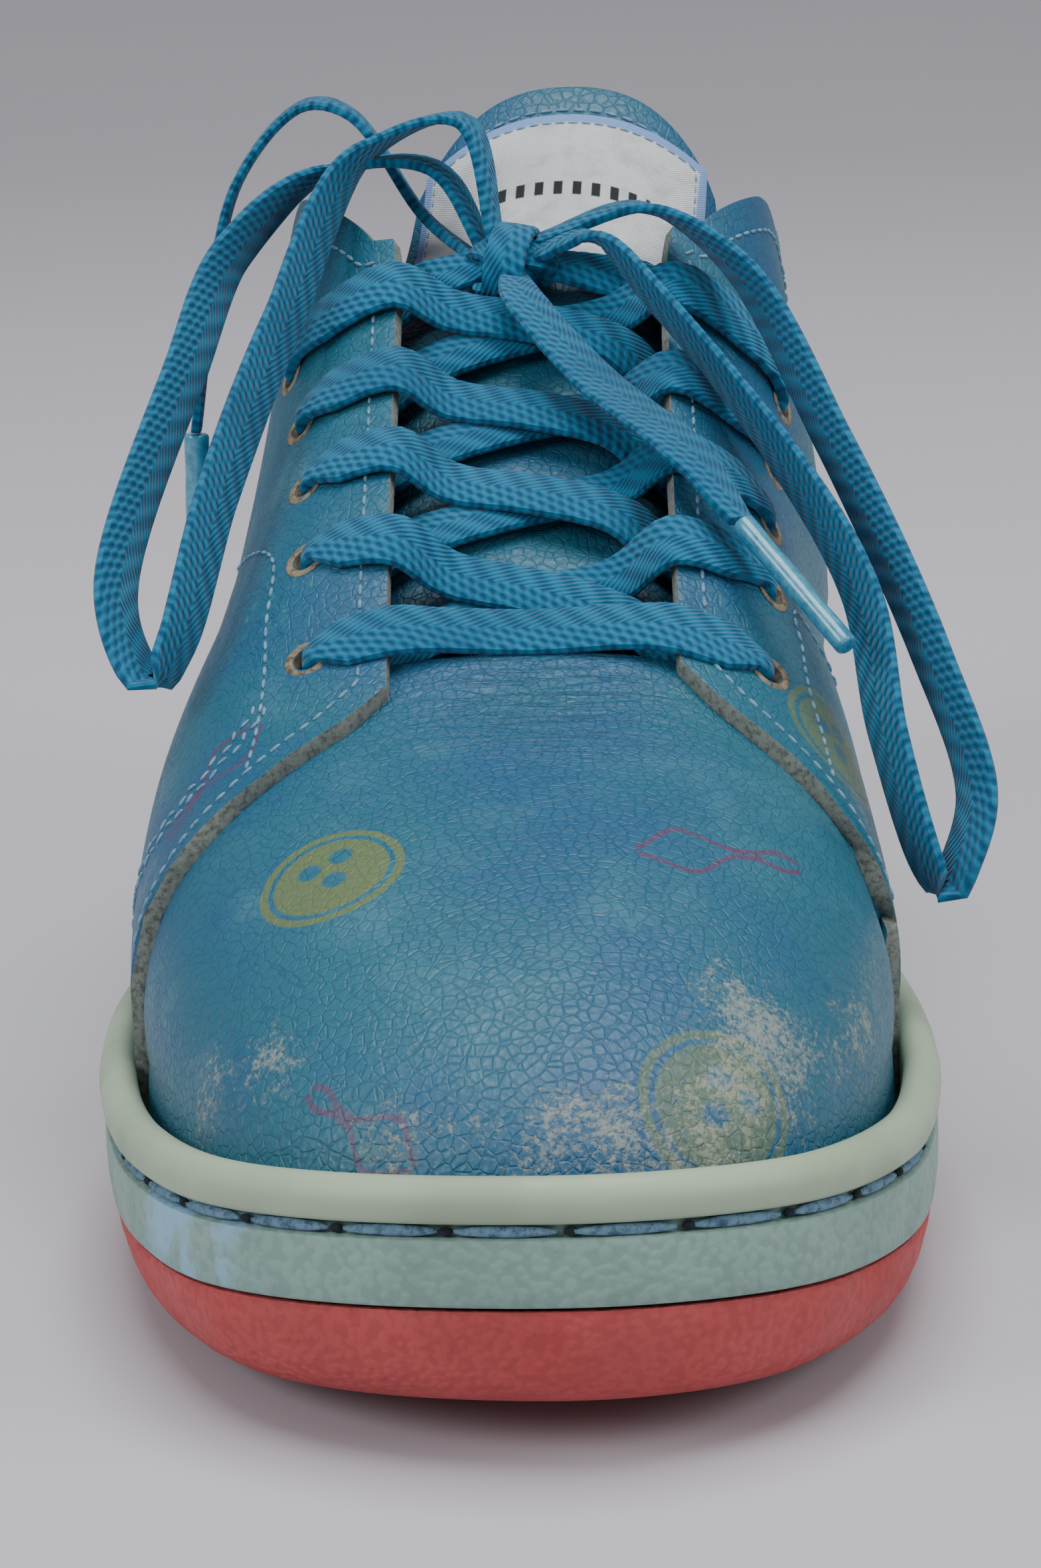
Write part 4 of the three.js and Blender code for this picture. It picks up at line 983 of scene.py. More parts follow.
# %% Lace tips
def aglet(side):
    stations = LOOSE["lace_end_" + side]
    start = np.array([stations[-1][0], stations[-1][1] - HALF_LENGTH, stations[-1][2]])
    tip = np.array([TIPS[side][0], TIPS[side][1] - HALF_LENGTH, TIPS[side][2]])
    way = unit(tip - start)
    middle = start + way * (AGLET_LENGTH / 2 + 0.5)
    bm = bmesh.new()
    bmesh.ops.create_cone(
        bm, cap_ends=True, segments=24, radius1=AGLET_RADIUS, radius2=AGLET_RADIUS * 0.94, depth=AGLET_LENGTH
    )
    rims = [e for e in bm.edges if e.is_manifold and e.calc_face_angle(0) > 1]
    bmesh.ops.bevel(bm, geom=rims, offset=0.5, affect="EDGES", segments=3, profile=0.5, material=-1)
    ends = [e for e in bm.edges if abs(e.verts[0].co.z - e.verts[1].co.z) > 10]
    bmesh.ops.subdivide_edges(bm, edges=ends, cuts=14, use_grid_fill=True)
    for v in bm.verts:
        upper, lower = ((v.co.z - 4) / 2.2) ** 2, ((v.co.z + 6) / 2) ** 2
        crimp = 1 - 0.07 * math.exp(-upper) - 0.05 * math.exp(-lower)
        v.co.x *= crimp
        v.co.y *= 0.86 * crimp
    turn = Vector((0, 0, 1)).rotation_difference(Vector(way)).to_matrix().to_4x4()
    bmesh.ops.transform(bm, matrix=Matrix.Translation(Vector(middle)) @ turn, verts=bm.verts)
    return finished("aglet_film_" + side, bm, "clear_tip", ["aglet_" + side])

# %% [markdown]
# The label is a woven tag. Its border and its plain mark, a row of dark bars like a scorecard's
# strikes, are drawn on its own cut, which runs from 0 to its width and length.

# %% Label finish
LABEL_WIDTH, LABEL_LENGTH = 41.0, 27.0


def label_finish():
    f = Finish("white_label", 0.8, Sheen_Weight=0.2, Specular_IOR_Level=0.25)
    cut = f.node("UVMap", uv_map="cut").outputs[0]
    u, v = f.part(cut, 0), f.part(cut, 1)
    x = f.math("ABSOLUTE", f.math("SUBTRACT", u, 0.5))
    y = f.math("ABSOLUTE", f.math("SUBTRACT", v, 0.5))
    from_side = f.math("MULTIPLY", f.math("SUBTRACT", 0.5, x), LABEL_WIDTH)
    from_end = f.math("MULTIPLY", f.math("SUBTRACT", 0.5, y), LABEL_LENGTH)
    edge = f.math("MINIMUM", from_side, from_end)
    weave = f.math("SINE", f.math("MULTIPLY", v, 420.0))
    cross = f.math("SINE", f.math("MULTIPLY", u, 620.0))
    height = f.math("MULTIPLY", weave, cross)
    colour = f.mix(rgb("DADCDD"), rgb("C3C9CC"), f.step(f.noise(300, 5), 0.4, 0.7))
    colour = f.mix(colour, rgb("7FA3DC"), f.step(edge, 1.3, 1.7, 1.0, 0.0))
    beat = f.math("FRACT", f.math("MULTIPLY", u, 17.0))
    bar = f.step(f.math("ABSOLUTE", f.math("SUBTRACT", beat, 0.5)), 0.2, 0.26, 1.0, 0.0)
    row = f.step(f.math("ABSOLUTE", f.math("SUBTRACT", v, 0.5)), 0.04, 0.05, 1.0, 0.0)
    inside = f.step(x, 0.29, 0.3, 1.0, 0.0)
    mark = f.math("MULTIPLY", f.math("MULTIPLY", bar, row), inside)
    colour = f.mix(colour, rgb("1C2428"), mark)
    f.wear(colour, None, f.bump(f.math("ADD", height, f.math("MULTIPLY", mark, 2.0)), 0.00006))


label_finish()
print("label finish ready")

# %% [markdown]
# The four loose strands come first of all pieces, then the tips. A loop goes back into the knot,
# and a free end stops in its tip.

# %% Loose strands and tips
for side in ("medial", "lateral"):
    loop, line, length = loose_lace("bow_loop_" + side)
    end, line, length = loose_lace("lace_end_" + side)
    tip = aglet(side)
    print(side, "free end: %.0f mm" % (length * 1000))

# %% [markdown]
# The crossed lace is held in its holes, so it isn't loose. The stations of every crossing are
# rounded into one line each, and neighbours share the point in the hole where they meet.

# %% Crossed lace
def crossed(name, side, row, end_row, profile, middle):
    first, inside, last = crossing(side, row, end_row, profile, middle)
    at, out, width = upright([*first, *inside, *last])
    lace_piece(name + "_braid", at, out, width, [name], thick=1.7)


crossed("lace_bar", 1, 0, 0, LEAVE_OVER, [(x, OVER - 2.4 + abs(x) / 9) for x in (12, 0, -12)])
for row in range(LACED_ROWS - 1):
    top = [(x, 0.25) for x in (SWAP, 0, -SWAP)]
    low = [(x, 0.25 - LACE_THICKNESS - GAP - 0.1) for x in (SWAP, 0, -SWAP)]
    crossed("lace_to_lateral_%d" % (row + 2), 1, row, row + 1, LEAVE_UNDER, top)
    crossed("lace_to_medial_%d" % (row + 2), -1, row, row + 1, LEAVE_UNDER, low)
for side, name in ((1, "medial"), (-1, "lateral")):
    row = LACED_ROWS - 1
    first = from_eyelet(LEAVE_UNDER, side, row, np.array([0, FIRST_EYELET + row * EYELET_PITCH + 3]))
    edge = first[-1][0]
    rest = [
        (
            edge + (knot_middle - edge) * t + knot_out * 1.2 * math.sin(math.pi * t), knot_out,
            LACE_WIDTH + (4 - LACE_WIDTH) * t,
        )
        for t in (0.35, 0.7, 0.95)
    ]
    at, out, width = upright([*first, *rest])
    lace_piece("lace_rise_%s_braid" % name, at, out, width, ["lace_rise_" + name], thick=1.7)
print("crossings:", 2 * LACED_ROWS - 1)

# %% [markdown]
# A bow knot is one turn of lace pulled round the roots of the loops. It is modelled as what it
# is: a short band wound once round the bundle, over a tucked fold that fills its middle.

# %% Knot
def wound(name, stands_for, radius_a, radius_b, width, tilt, shift, turns=1.0, lean=0.0):
    across = unit(np.cross(knot_out, (0, 1, 0)))
    down = unit(np.cross(across, knot_out))
    c, s = math.cos(tilt), math.sin(tilt)
    axis = across * c + down * s
    other = unit(np.cross(knot_out, axis))
    t = np.linspace(0, turns * 2 * math.pi, 56)
    centre = knot_middle + across * shift[0] + knot_out * shift[1] + down * shift[2]
    at = (
        centre
        + other[None] * (np.cos(t) * radius_a)[:, None]
        + knot_out[None] * (np.sin(t) * radius_b)[:, None]
        + axis[None] * (lean * (t / t[-1] - 0.5))[:, None]
    )
    along = unit(np.gradient(at, axis=0))
    wide = np.repeat(axis[None], len(t), axis=0)
    wide = unit(wide - along * (wide * along).sum(1)[:, None])
    out = np.cross(wide, along)
    width = np.full(len(t), width)
    bm = ribbon_mesh(at, wide, out, width, np.full(len(t), 1.7))
    return finished(name, bm, "teal_lace", stands_for)


wound("knot_wrap", ["lace_knot"], 5.4, 3.9, 6.2, 0.35, (0.4, 0.3, 0), 1.0, 1.6)
wound("knot_fold", (), 4.3, 2.7, 6.6, -0.7, (1.2, 0.0, 0), 1.0, 1.2)
wound("knot_tuck", (), 5.2, 2.4, 5.4, 1.75, (-0.8, -0.4, 0), 1.0, 0.8)
print("knot at: %s" % np.round(knot_middle, 1))

# %% [markdown]
# A piece of the upper is a region of the last: along the sole, up its front edge, along the
# throat and round the collar. A cut with a boolean would leave slivers at those curves. Instead
# each column of the sheet is stretched to just the part that lies inside the pattern, so the
# sheet ends exactly on the pattern's edge, and seams can follow that edge.

# %% Pattern pieces
FRONT_EDGE = [(THROAT_HALF + x, THROAT_START + y) for x, y in (
    (0, 0), (5.7, -5.5), (12.7, -10), (18.7, -13.5), (23.7, -16), (28, -17.5), (60, -18))]
FRONT_SKEW = 2.0
collar_at = curve(
    (CORNER_AT - 6, CORNER_HEIGHT + 3), (CORNER_AT, CORNER_HEIGHT), (CORNER_AT + 10, CORNER_HEIGHT - 16),
    (CORNER_AT + 24, ANKLE_HEIGHT + 9), (235, ANKLE_HEIGHT), (261, ANKLE_HEIGHT + 3),
    (283, HEEL_HEIGHT - 3), (300, HEEL_HEIGHT),
)
front_x, front_d = np.array(through(FRONT_EDGE, 12)).T


WAIST_AT, WAIST_TOP = 140.0, 60.0  # below this height the wall leans in, and is left whole
RAW = 0.8  # how much thicker a worn raw edge shows
CORNER_SOFT = 7.0  # how round the upper corner is


def inside_quarter(points, side, trim=0.0, start=None):
    """How far inside the pattern of a quarter each point is, in rough millimetres."""
    x = side * (points[..., 0] - ridge_x(np.minimum(points[..., 1] + HALF_LENGTH, 260)))
    d, z = points[..., 1] + HALF_LENGTH, points[..., 2]
    front = d - (np.interp(x - trim, front_x, front_d) + FRONT_SKEW * side)
    if start is not None:
        front = d - start
    low_wall = (d > WAIST_AT) & (z < WAIST_TOP)
    throat = np.where((d < CORNER_AT + 5) & ~low_wall, x - throat_at(d) - trim, 50.0)
    collar = np.where(d > CORNER_AT - 25, collar_at(d) - trim - z, 50.0)
    throat_part, collar_part = (np.exp(-np.clip(v, -40, 60) / CORNER_SOFT) for v in (throat, collar))
    corner = -CORNER_SOFT * np.log(throat_part + collar_part)
    return np.minimum(front, np.where(d > CORNER_AT - 25, corner, np.minimum(throat, collar)))


def region(columns, inside, offset, samples=260):
    """The lowest and highest climb, at each column, that lies inside a pattern."""
    psi = np.linspace(0, RIDGE, samples)
    hit = inside(on_layer(columns[:, None], psi[None], np.full((len(columns), samples), offset))) > 0
    lo = np.argmax(hit, axis=1)
    after = ~hit & (np.arange(samples)[None] > lo[:, None])
    hi = np.where(after.any(1), np.argmax(after, axis=1), samples)
    some = hit.any(1)

    def refine(a, b, rising):
        for _ in range(18):
            m = (a + b) / 2
            good = inside(on_layer(columns, m, np.full(len(columns), offset))) > 0
            a, b = np.where(good == rising, a, m), np.where(good == rising, m, b)
        return (a + b) / 2

    step = psi[1]
    low = np.where(lo > 0, refine(psi[lo] - step, psi[lo], True), 0.0)
    above, below = psi[np.minimum(hi, samples - 1)], psi[np.maximum(hi - 1, 0)]
    high = np.where(hi < samples, refine(np.minimum(above, RIDGE), below, True), RIDGE)
    return low, high, some


def patch(side, start, inside, offset, columns=190, rows=44, fill=None):
    """The sheet of points of one pattern piece, and its low and high edges."""
    end = 0.5 - 0.0008 if side > 0 else 0.5 + 0.0008
    first = float(u_at(start, side))
    us = np.linspace(first, end, 700)
    some = region(us, inside, offset, 160)[2]
    us = us[some]
    corner = float(u_at(CORNER_AT, side))
    u = np.unique(np.concatenate([np.linspace(us[0], us[-1], columns), [corner]]))
    if side < 0:
        u = u[::-1]
    low, high, some = region(u, inside, offset)
    u, low, high = u[some], low[some], high[some]
    t = np.linspace(0, 1, rows)
    psi = low[:, None] + (high - low)[:, None] * t[None]
    lift = fill(u[:, None] + 0 * psi, psi) if fill else 0.0
    return on_layer(u[:, None] + 0 * psi, psi, offset + lift), u, low, high


def shell(name, bm, slot, stands_for, thickness, paints, round_edge=0.3, body="shoe"):
    """A sheet with a thickness to its inner side, and edges that are eased a little."""
    piece = finished(name, bm, slot, stands_for, body, paints)
    wall = piece.modifiers.new("thickness", "SOLIDIFY")
    wall.thickness = thickness * MM
    wall.offset = -1
    wall.use_even_offset = False
    wall.material_offset = len(paints) - 1 if len(paints) > 2 else 0
    wall.material_offset_rim = 1 if len(paints) > 1 else 0
    if round_edge:
        soft = piece.modifiers.new("edges", "BEVEL")
        soft.width = round_edge * MM
        soft.segments = 2
        soft.limit_method = "ANGLE"
        soft.angle_limit = math.radians(50)
        soft.harden_normals = False
    return piece


def wavy(points, amount, size):
    """Small uneven swells, as leather has after years of wear."""
    flat = points.reshape(-1, 3)
    lift = np.array([noise.noise(Vector(p) / size) for p in flat])
    return (lift * amount).reshape(points.shape[:-1])


EDGES = {}
for side, name in ((1, "medial"), (-1, "lateral")):
    pattern = lambda p, side=side: inside_quarter(p, side)
    points, u, low, high = patch(side, 66, pattern, QUARTER[1] + RAW)
    bm = grid(points)
    outward(bm)
    front = (low > 1e-4) & (points[:, 0, 1] + HALF_LENGTH < BALL_AT)
    EDGES[name] = np.vstack([points[:, 0][front][::-1], points[:, -1]])
    thickness = QUARTER[1] - QUARTER[0] + RAW + 0.35
    quarter = shell(
        "quarter_leather_" + name, bm, "blue_leather", ["quarter_" + name], thickness,
        ("blue_leather", "green_suede"), 0.35,
    )
    holes = bmesh.new()
    for row in range(EYELET_ROWS):
        x, d = eyelet_at(side, row)
        point, normal = surface_at(x, d, HOLE_MIDDLE)
        turn = Vector((0, 0, 1)).rotation_difference(Vector(normal)).to_matrix().to_4x4()
        bmesh.ops.create_cone(
            holes, cap_ends=True, segments=20, radius1=EYELET_RADIUS * 0.8, radius2=EYELET_RADIUS * 0.8,
            depth=14, matrix=Matrix.Translation(Vector(point)) @ turn,
        )
    for v in holes.verts:
        v.co = ((v.co.x + MIDDLE) * MM, v.co.y * MM, v.co.z * MM)
    mesh = bpy.data.meshes.new("punch_" + name)
    holes.to_mesh(mesh)
    holes.free()
    punch = bpy.data.objects.new("punch_" + name, mesh)
    bpy.context.scene.collection.objects.link(punch)
    mesh.materials.append(PAINTS["hole_rim"])
    bpy.context.view_layer.update()
    cut = quarter.modifiers.new("eyelets", "BOOLEAN")
    cut.operation = "DIFFERENCE"
    cut.solver = "EXACT"
    cut.material_mode = "TRANSFER"
    cut.object = punch
    bpy.context.view_layer.update()
    made = bpy.data.meshes.new_from_object(quarter.evaluated_get(bpy.context.evaluated_depsgraph_get()))
    quarter.modifiers.clear()
    quarter.data = made
    bpy.data.objects.remove(punch)
    print(quarter.name, len(made.polygons), "faces")

# %% [markdown]
# The vamp is one sheet that fans out from the throat round the toe. It is given shallow swells
# and a few real folds across the flex line, because light catches a fold long before a colour.

# %% Vamp
def flex_folds(points):
    """Folds across the vamp just ahead of the throat."""
    d, x = points[..., 1] + HALF_LENGTH, points[..., 0]
    bend = d + 0.012 * (x - 4) ** 2
    zone = np.exp(-(((bend - 88) / 8) ** 2)) * np.exp(-(((x - 3) / 26) ** 2))
    ripple = np.sin(bend * 1.35 + 0.8 * np.sin(x * 0.21)) + 0.6 * np.sin(bend * 2.3 + x * 0.13)
    return 0.11 * zone * ripple


def toe_sheet(offset, columns=150, rows=46, swell=None):
    u = np.linspace(float(u_at(BALL_AT, -1)) - 1, float(u_at(BALL_AT, 1)), columns)
    t = np.linspace(0, 1, rows)
    psi = RIDGE * (0.45 * t + 0.55 * t**1.6)
    uu, pp = u[:, None] + 0 * psi[None], psi[None] + 0 * u[:, None]
    points = on_layer(uu, pp, np.full(uu.shape, offset))
    if swell:
        points = points + last_normal(uu, pp) * (swell(points) * np.cos(pp * 0.999) ** 0.3)[..., None]
    return points


def vamp_swell(points):
    return flex_folds(points) + wavy(points, 0.22, 17) * ease(2, 12, points[..., 2] - 24)


bm = grid(toe_sheet(VAMP[1], 190, 80, vamp_swell))
outward(bm)
shell("vamp_leather", bm, "blue_leather", ["vamp"], VAMP[1] - VAMP[0], ("vamp_leather", "green_suede"))
bm = grid(toe_sheet(LINING[1]))
outward(bm)
shell("vamp_lining_cloth", bm, "coral_textile", ["vamp_lining"], 0.6, ("coral_textile",), 0)
print("vamp made")

# %% [markdown]
# The collar is padded: foam lies between the lining and the leather, and the lining is pushed
# in by it towards the ankle. The pad is a closed crowned form, and the lining follows its swell.

# %% Linings and collar pad
PAD_DEPTH = 24.0


def pad_swell(u, psi):
    """How far the pad pushes the lining in at a place, in millimetres."""
    p = on_layer(u, psi, np.zeros_like(psi))
    d, z = p[..., 1] + HALF_LENGTH, p[..., 2]
    down = collar_at(d) - z
    band = np.sin(np.clip(down / PAD_DEPTH, 0, 1) * math.pi) ** 0.8
    return -2.4 * np.nan_to_num(band) * ease(CORNER_AT + 6, CORNER_AT + 26, d)


for side, name in ((1, "medial"), (-1, "lateral")):
    pattern = lambda p, side=side: inside_quarter(p, side, 0.5, BALL_AT + 0.6)
    points, *_ = patch(side, 100, pattern, LINING[1], 120, 60, pad_swell)
    bm = grid(points)
    outward(bm)
    shell("lining_cloth_" + name, bm, "coral_textile", ["quarter_lining_" + name], 0.6, ("coral_textile",), 0)


def collar_pad():
    loops = []
    us = np.concatenate([
        np.linspace(float(u_at(CORNER_AT + 12, 1)), 0.5, 60)[:-1],
        np.linspace(0.5, float(u_at(CORNER_AT + 12, -1)), 60),
    ])
    psi = np.linspace(0.05, RIDGE, 500)
    heights = on_layer(us[:, None], psi[None], np.full((len(us), 500), 1.0))
    top = collar_at(heights[:, 0, 1] + HALF_LENGTH)
    for k, u in enumerate(us):
        fade = float(np.clip(min(k, len(us) - 1 - k) / 5, 0, 1)) ** 0.5
        z = heights[k, :, 2]
        hi = np.interp(top[k] - 1.6, z, psi)
        lo = np.interp(top[k] - 1.6 - (PAD_DEPTH - 3) * max(fade, 0.15), z, psi)
        t = np.linspace(0, 1, 12)
        climb = lo + (hi - lo) * t
        crown = np.sin(np.pi * t) ** 0.6 * max(fade, 0.05)
        inner = pad_swell(np.full(12, u), climb) * fade + 1.0
        middle = 2.0
        inside_line = on_layer(np.full(12, u), climb, middle + (inner - middle) * crown)
        outside_line = on_layer(np.full(12, u), climb, middle + 0.9 * crown)
        loops.append(np.vstack([inside_line, outside_line[::-1][1:]]))
    bm = grid(np.array(loops))
    bmesh.ops.holes_fill(bm, edges=[e for e in bm.edges if e.is_boundary])
    bmesh.ops.recalc_face_normals(bm, faces=bm.faces)
    return bm


pad = finished("collar_pad_foam", collar_pad(), "white_foam", ["collar_foam"])
print("collar pad: %d faces" % len(pad.data.polygons))

# %% [markdown]
# Two stiffeners hold the toe and heel in shape, a suede stay backs each row of eyelets, and at
# the back the seam is covered by an overlay and a tab. All of them are regions of the last too.

# %% Stiffeners, stays, heel overlay and tab
def sheet_between(us, lows, highs, offset, rows=20):
    t = np.linspace(0, 1, rows)
    psi = lows[:, None] + (highs - lows)[:, None] * t[None]
    return on_layer(us[:, None] + 0 * psi, psi, np.full(psi.shape, offset))


def round_heel(start, top, offset, bottom=lambda d: 0 * d - 50, count=90, rows=24, us=None):
    us = np.linspace(float(u_at(start, 1)), float(u_at(start, -1)), count) if us is None else us
    psi = np.linspace(0, RIDGE, 500)
    p = on_layer(us[:, None], psi[None], np.full((len(us), 500), offset))
    d = p[:, 0, 1] + HALF_LENGTH
    high = np.array([np.interp(top(d[k]), p[k, :, 2], psi) for k in range(len(us))])
    low = np.array([np.interp(bottom(d[k]), p[k, :, 2], psi) for k in range(len(us))])
    return sheet_between(us, low, high, offset, rows)


def heel_step(d):
    return 46 + 0.12 * (d - OVERLAY_START)


bm = grid(round_heel(236, lambda d: 52, STIFF[1]))
outward(bm)
shell("heel_stiffener", bm, "stiffener", ["heel_counter"], 0.5, ("stiffener",), 0)
overlay = round_heel(OVERLAY_START + 2, heel_step, OVERLAY[1], count=120, rows=30)
EDGES["overlay"] = np.vstack([overlay[0], overlay[1:-1, -1], overlay[-1][::-1]])
bm = grid(overlay)
outward(bm)
shell("heel_overlay_leather", bm, "blue_leather", ["heel_overlay"], 1.2, ("blue_leather", "green_suede"))
tab = round_heel(
    0, lambda d: HEEL_HEIGHT - 1, OVERLAY[1], lambda d: heel_step(d) + 0.5, us=np.linspace(0.482, 0.518, 24)
)
EDGES["tab"] = np.vstack([tab[0], tab[1:-1, -1], tab[-1][::-1]])
bm = grid(tab)
outward(bm)
shell("heel_tab_leather", bm, "blue_leather", ["heel_tab"], 1.2, ("blue_leather", "green_suede"))
us = np.linspace(float(u_at(52, -1)) - 1, float(u_at(52, 1)), 90)
psi = np.linspace(0, RIDGE, 400)
p = on_layer(us[:, None], psi[None], np.full((len(us), 400), STIFF[1]))
high = np.array([np.interp(51.5, p[k, :, 1] + HALF_LENGTH, psi) for k in range(len(us))])
bm = grid(sheet_between(us, np.zeros(len(us)), high, STIFF[1]))
outward(bm)
shell("toe_stiffener", bm, "stiffener", ["toe_puff"], 0.5, ("stiffener",), 0)
for side, name in ((1, "medial"), (-1, "lateral")):
    ds = np.linspace(BALL_AT + 1, CORNER_AT - 9, 60)
    xs = np.linspace(0.4, 18.5, 10)
    middle = ridge_x(ds)[:, None]
    x = middle + side * (throat_at(ds)[:, None] + xs[None])
    points, _ = surface_at(x, ds[:, None] + 0 * xs[None], np.full(x.shape, STAY[1]))
    bm = grid(points)
    outward(bm)
    shell("eyelet_stay_" + name, bm, "green_suede", ["eyestay_backing_" + name], 0.7, ("green_suede",), 0)

# %% [markdown]
# The sole unit is a stack of slabs that share one outline. Each slab is given by rings, an inset
# and a height, from its lower edge to its upper edge, and its two flat faces run straight across.

# %% Sole slabs
def slab(name, rings, slot, stands_for, paints=None, bands=None, around=190, across=9, dish=None):
    """rings are (inset, height above the ground or a function of y, band). bands names a paint for each."""
    u = np.linspace(0, 0.5, around)
    side_m, side_l = [], []
    for inset, height, *_ in rings:
        for keep, uu in ((side_m, u), (side_l, 1 - u)):
            put = inset(edge_at(uu, np.zeros_like(uu))[:, 1]) if callable(inset) else np.full_like(uu, inset)
            p = edge_at(uu, put)
            keep.append(np.column_stack([p, height(p[:, 1])]))
    medial, lateral = np.array(side_m), np.array(side_l)
    t = np.linspace(0, 1, across)[1:-1, None, None]
    top = lateral[-1][None] * (1 - t) + medial[-1][None] * t
    base = medial[0][None] * (1 - t) + lateral[0][None] * t
    if dish:
        top[..., 2] += dish(top)
    loop = np.concatenate([lateral, top, medial[::-1], base, lateral[:1]])
    bm = grid(loop.transpose(1, 0, 2))
    bmesh.ops.remove_doubles(bm, verts=bm.verts, dist=0.01)
    bmesh.ops.dissolve_degenerate(bm, edges=bm.edges, dist=0.001)
    bmesh.ops.recalc_face_normals(bm, faces=bm.faces)
    if bands:
        for face in bm.faces:
            p = face.calc_center_median()
            height = p.z - float(outsole_top(p.y))
            face.material_index = next(i for i, limit in bands if height < limit)
    return finished(name, bm, slot, stands_for, "shoe", paints or (slot,))


def over(base, h):
    return lambda y: base(y) + h


outer = [
    (9, spring_at), (7.2, over(spring_at, 0.6)), (5.4, over(spring_at, 1.7)), (3.8, over(spring_at, 3.2)),
    (2.6, over(spring_at, 5.0)), (1.6, over(spring_at, 7.3)), (0.9, over(spring_at, 10)),
    (0.65, over(spring_at, OUTSOLE_HEIGHT - 0.6)), (0.9, over(spring_at, OUTSOLE_HEIGHT - 0.1)),
    (1.4, over(spring_at, OUTSOLE_HEIGHT)),
]
slab("outsole_rubber", outer, "coral_rubber", ["outsole"])
h0, h1 = STITCH_HEIGHT - GROOVE_WIDTH / 2, STITCH_HEIGHT + GROOVE_WIDTH / 2
# inset and height above the outsole: the pebbled band, the groove, then the rolled lip
wall_rings = [
    (1.2, GAP), (0.55, GAP + 0.15), (0.2, 0.9), (0.02, 2.4), (-0.08, 5), (-0.02, h0 - 0.9),
    (0.12, h0 - 0.3), (0.6, h0 - 0.02), (1.4, h0 + 0.12),
    (GROOVE_DEPTH, STITCH_HEIGHT - 0.2), (GROOVE_DEPTH, STITCH_HEIGHT + 0.2),
    (1.4, h1 - 0.12), (0.5, h1 + 0.05), (-0.05, h1 + 0.5), (-0.42, h1 + 1.4), (-0.5, h1 + 2.5),
    (-0.25, h1 + 3.6), (0.35, h1 + 4.5), (1.2, CUP_HEIGHT - 0.25), (2.3, CUP_HEIGHT),
    (3.4, CUP_HEIGHT - 0.3), (4.1, CUP_HEIGHT - 1.1), (CUP_WALL, CUP_HEIGHT - 2.2),
]
wall = [*((inset, over(outsole_top, height)) for inset, height in wall_rings), (CUP_WALL, floor_top)]
slab(
    "cup_rubber", wall, "mint_rubber", ["sidewall_cup"], ("mint_rubber", "mint_lip"),
    [(0, h1 - 0.2), (1, 99)], 230,
)


def inner_edge(y):
    return feather_inset(y) + 1.3


def soft_slab(name, low, high, extra, slot, stands_for, ease_by=0.5, dish=None):
    full, eased = over(inner_edge, extra), over(inner_edge, extra + ease_by)
    rings = [(eased, low), (full, over(low, ease_by)), (full, over(high, -ease_by)), (eased, high)]
    return slab(name, rings, slot, stands_for, around=120, across=15, dish=dish)


foam_low = over(floor_top, GAP)
foam_top = over(foam_low, FOAM_HEIGHT)
board_low = over(foam_top, GAP)
board_top = over(board_low, BOARD_THICKNESS)
bed_low = over(board_top, GAP)
bed_top = over(bed_low, FOOTBED_THICKNESS)


def dished(p):
    """A footbed is pressed a little hollow under the heel and the ball."""
    d, x = p[..., 1] + HALF_LENGTH, p[..., 0]
    heel = np.exp(-(((d - 255) / 26) ** 2)) * np.exp(-((x / 20) ** 2))
    ball = np.exp(-(((d - 95) / 30) ** 2)) * np.exp(-(((x - 2) / 30) ** 2))
    return -0.8 * heel - 0.6 * ball


soft_slab("midsole_pad", foam_low, foam_top, 0.2, "white_foam", ["midsole_foam"])
soft_slab("insole_board", board_low, board_top, 0.2, "brown_board", ["lasting_board"], 0.2)
bed = soft_slab("footbed_cloth", bed_low, bed_top, 1.4, "coral_textile", ["footbed"], 0.9, dished)
print("sole slabs made")

# %% [markdown]
# A row of stitches is one short grain of thread repeated along a line. Each grain is a small ball
# of few faces, stretched along the seam and sunk a little way into the leather it holds down.

# %% Stitches
def stitch_row(
    name, line, ways_out, pitch, length, radius, slot, paint=None, body="shoe", sink=0.35, stands_for=()
):
    """Grains of thread along a line, each as long as length, at a pitch, with ways_out as up."""
    run = run_of(line)
    count = max(1, int(run[-1] / pitch))
    bm = bmesh.new()
    bm.loops.layers.uv.new("cut")
    tangents = unit(np.gradient(line, axis=0))
    for k in range(count):
        s = (k + 0.5) * run[-1] / count
        p = np.array([np.interp(s, run, line[:, a]) for a in range(3)])
        along = unit(np.array([np.interp(s, run, tangents[:, a]) for a in range(3)]))
        out = np.array([np.interp(s, run, ways_out[:, a]) for a in range(3)])
        out = unit(out - along * (out @ along))
        wide = np.cross(along, out)
        p = p + out * radius * (1 - 2 * sink)
        frame_here = Matrix((
            (*(along * length / 2).tolist(),), (*(wide * radius).tolist(),), (*(out * radius).tolist(),)
        )).transposed().to_4x4()
        frame_here.translation = Vector(p)
        bmesh.ops.create_icosphere(bm, subdivisions=2, radius=1, matrix=frame_here, calc_uvs=False)
    return finished(name, bm, slot, stands_for, body, (paint or slot,), sharp=math.pi)


def ring_line(inset, lift):
    u = np.linspace(0, 1, 900)
    p = edge_at(u, np.full_like(u, inset))
    line = np.column_stack([p, outsole_top(p[:, 1]) + lift])
    out = edge_at(u, np.full_like(u, -1.0)) - edge_at(u, np.zeros_like(u))
    return line, np.column_stack([out, np.zeros(len(out))])


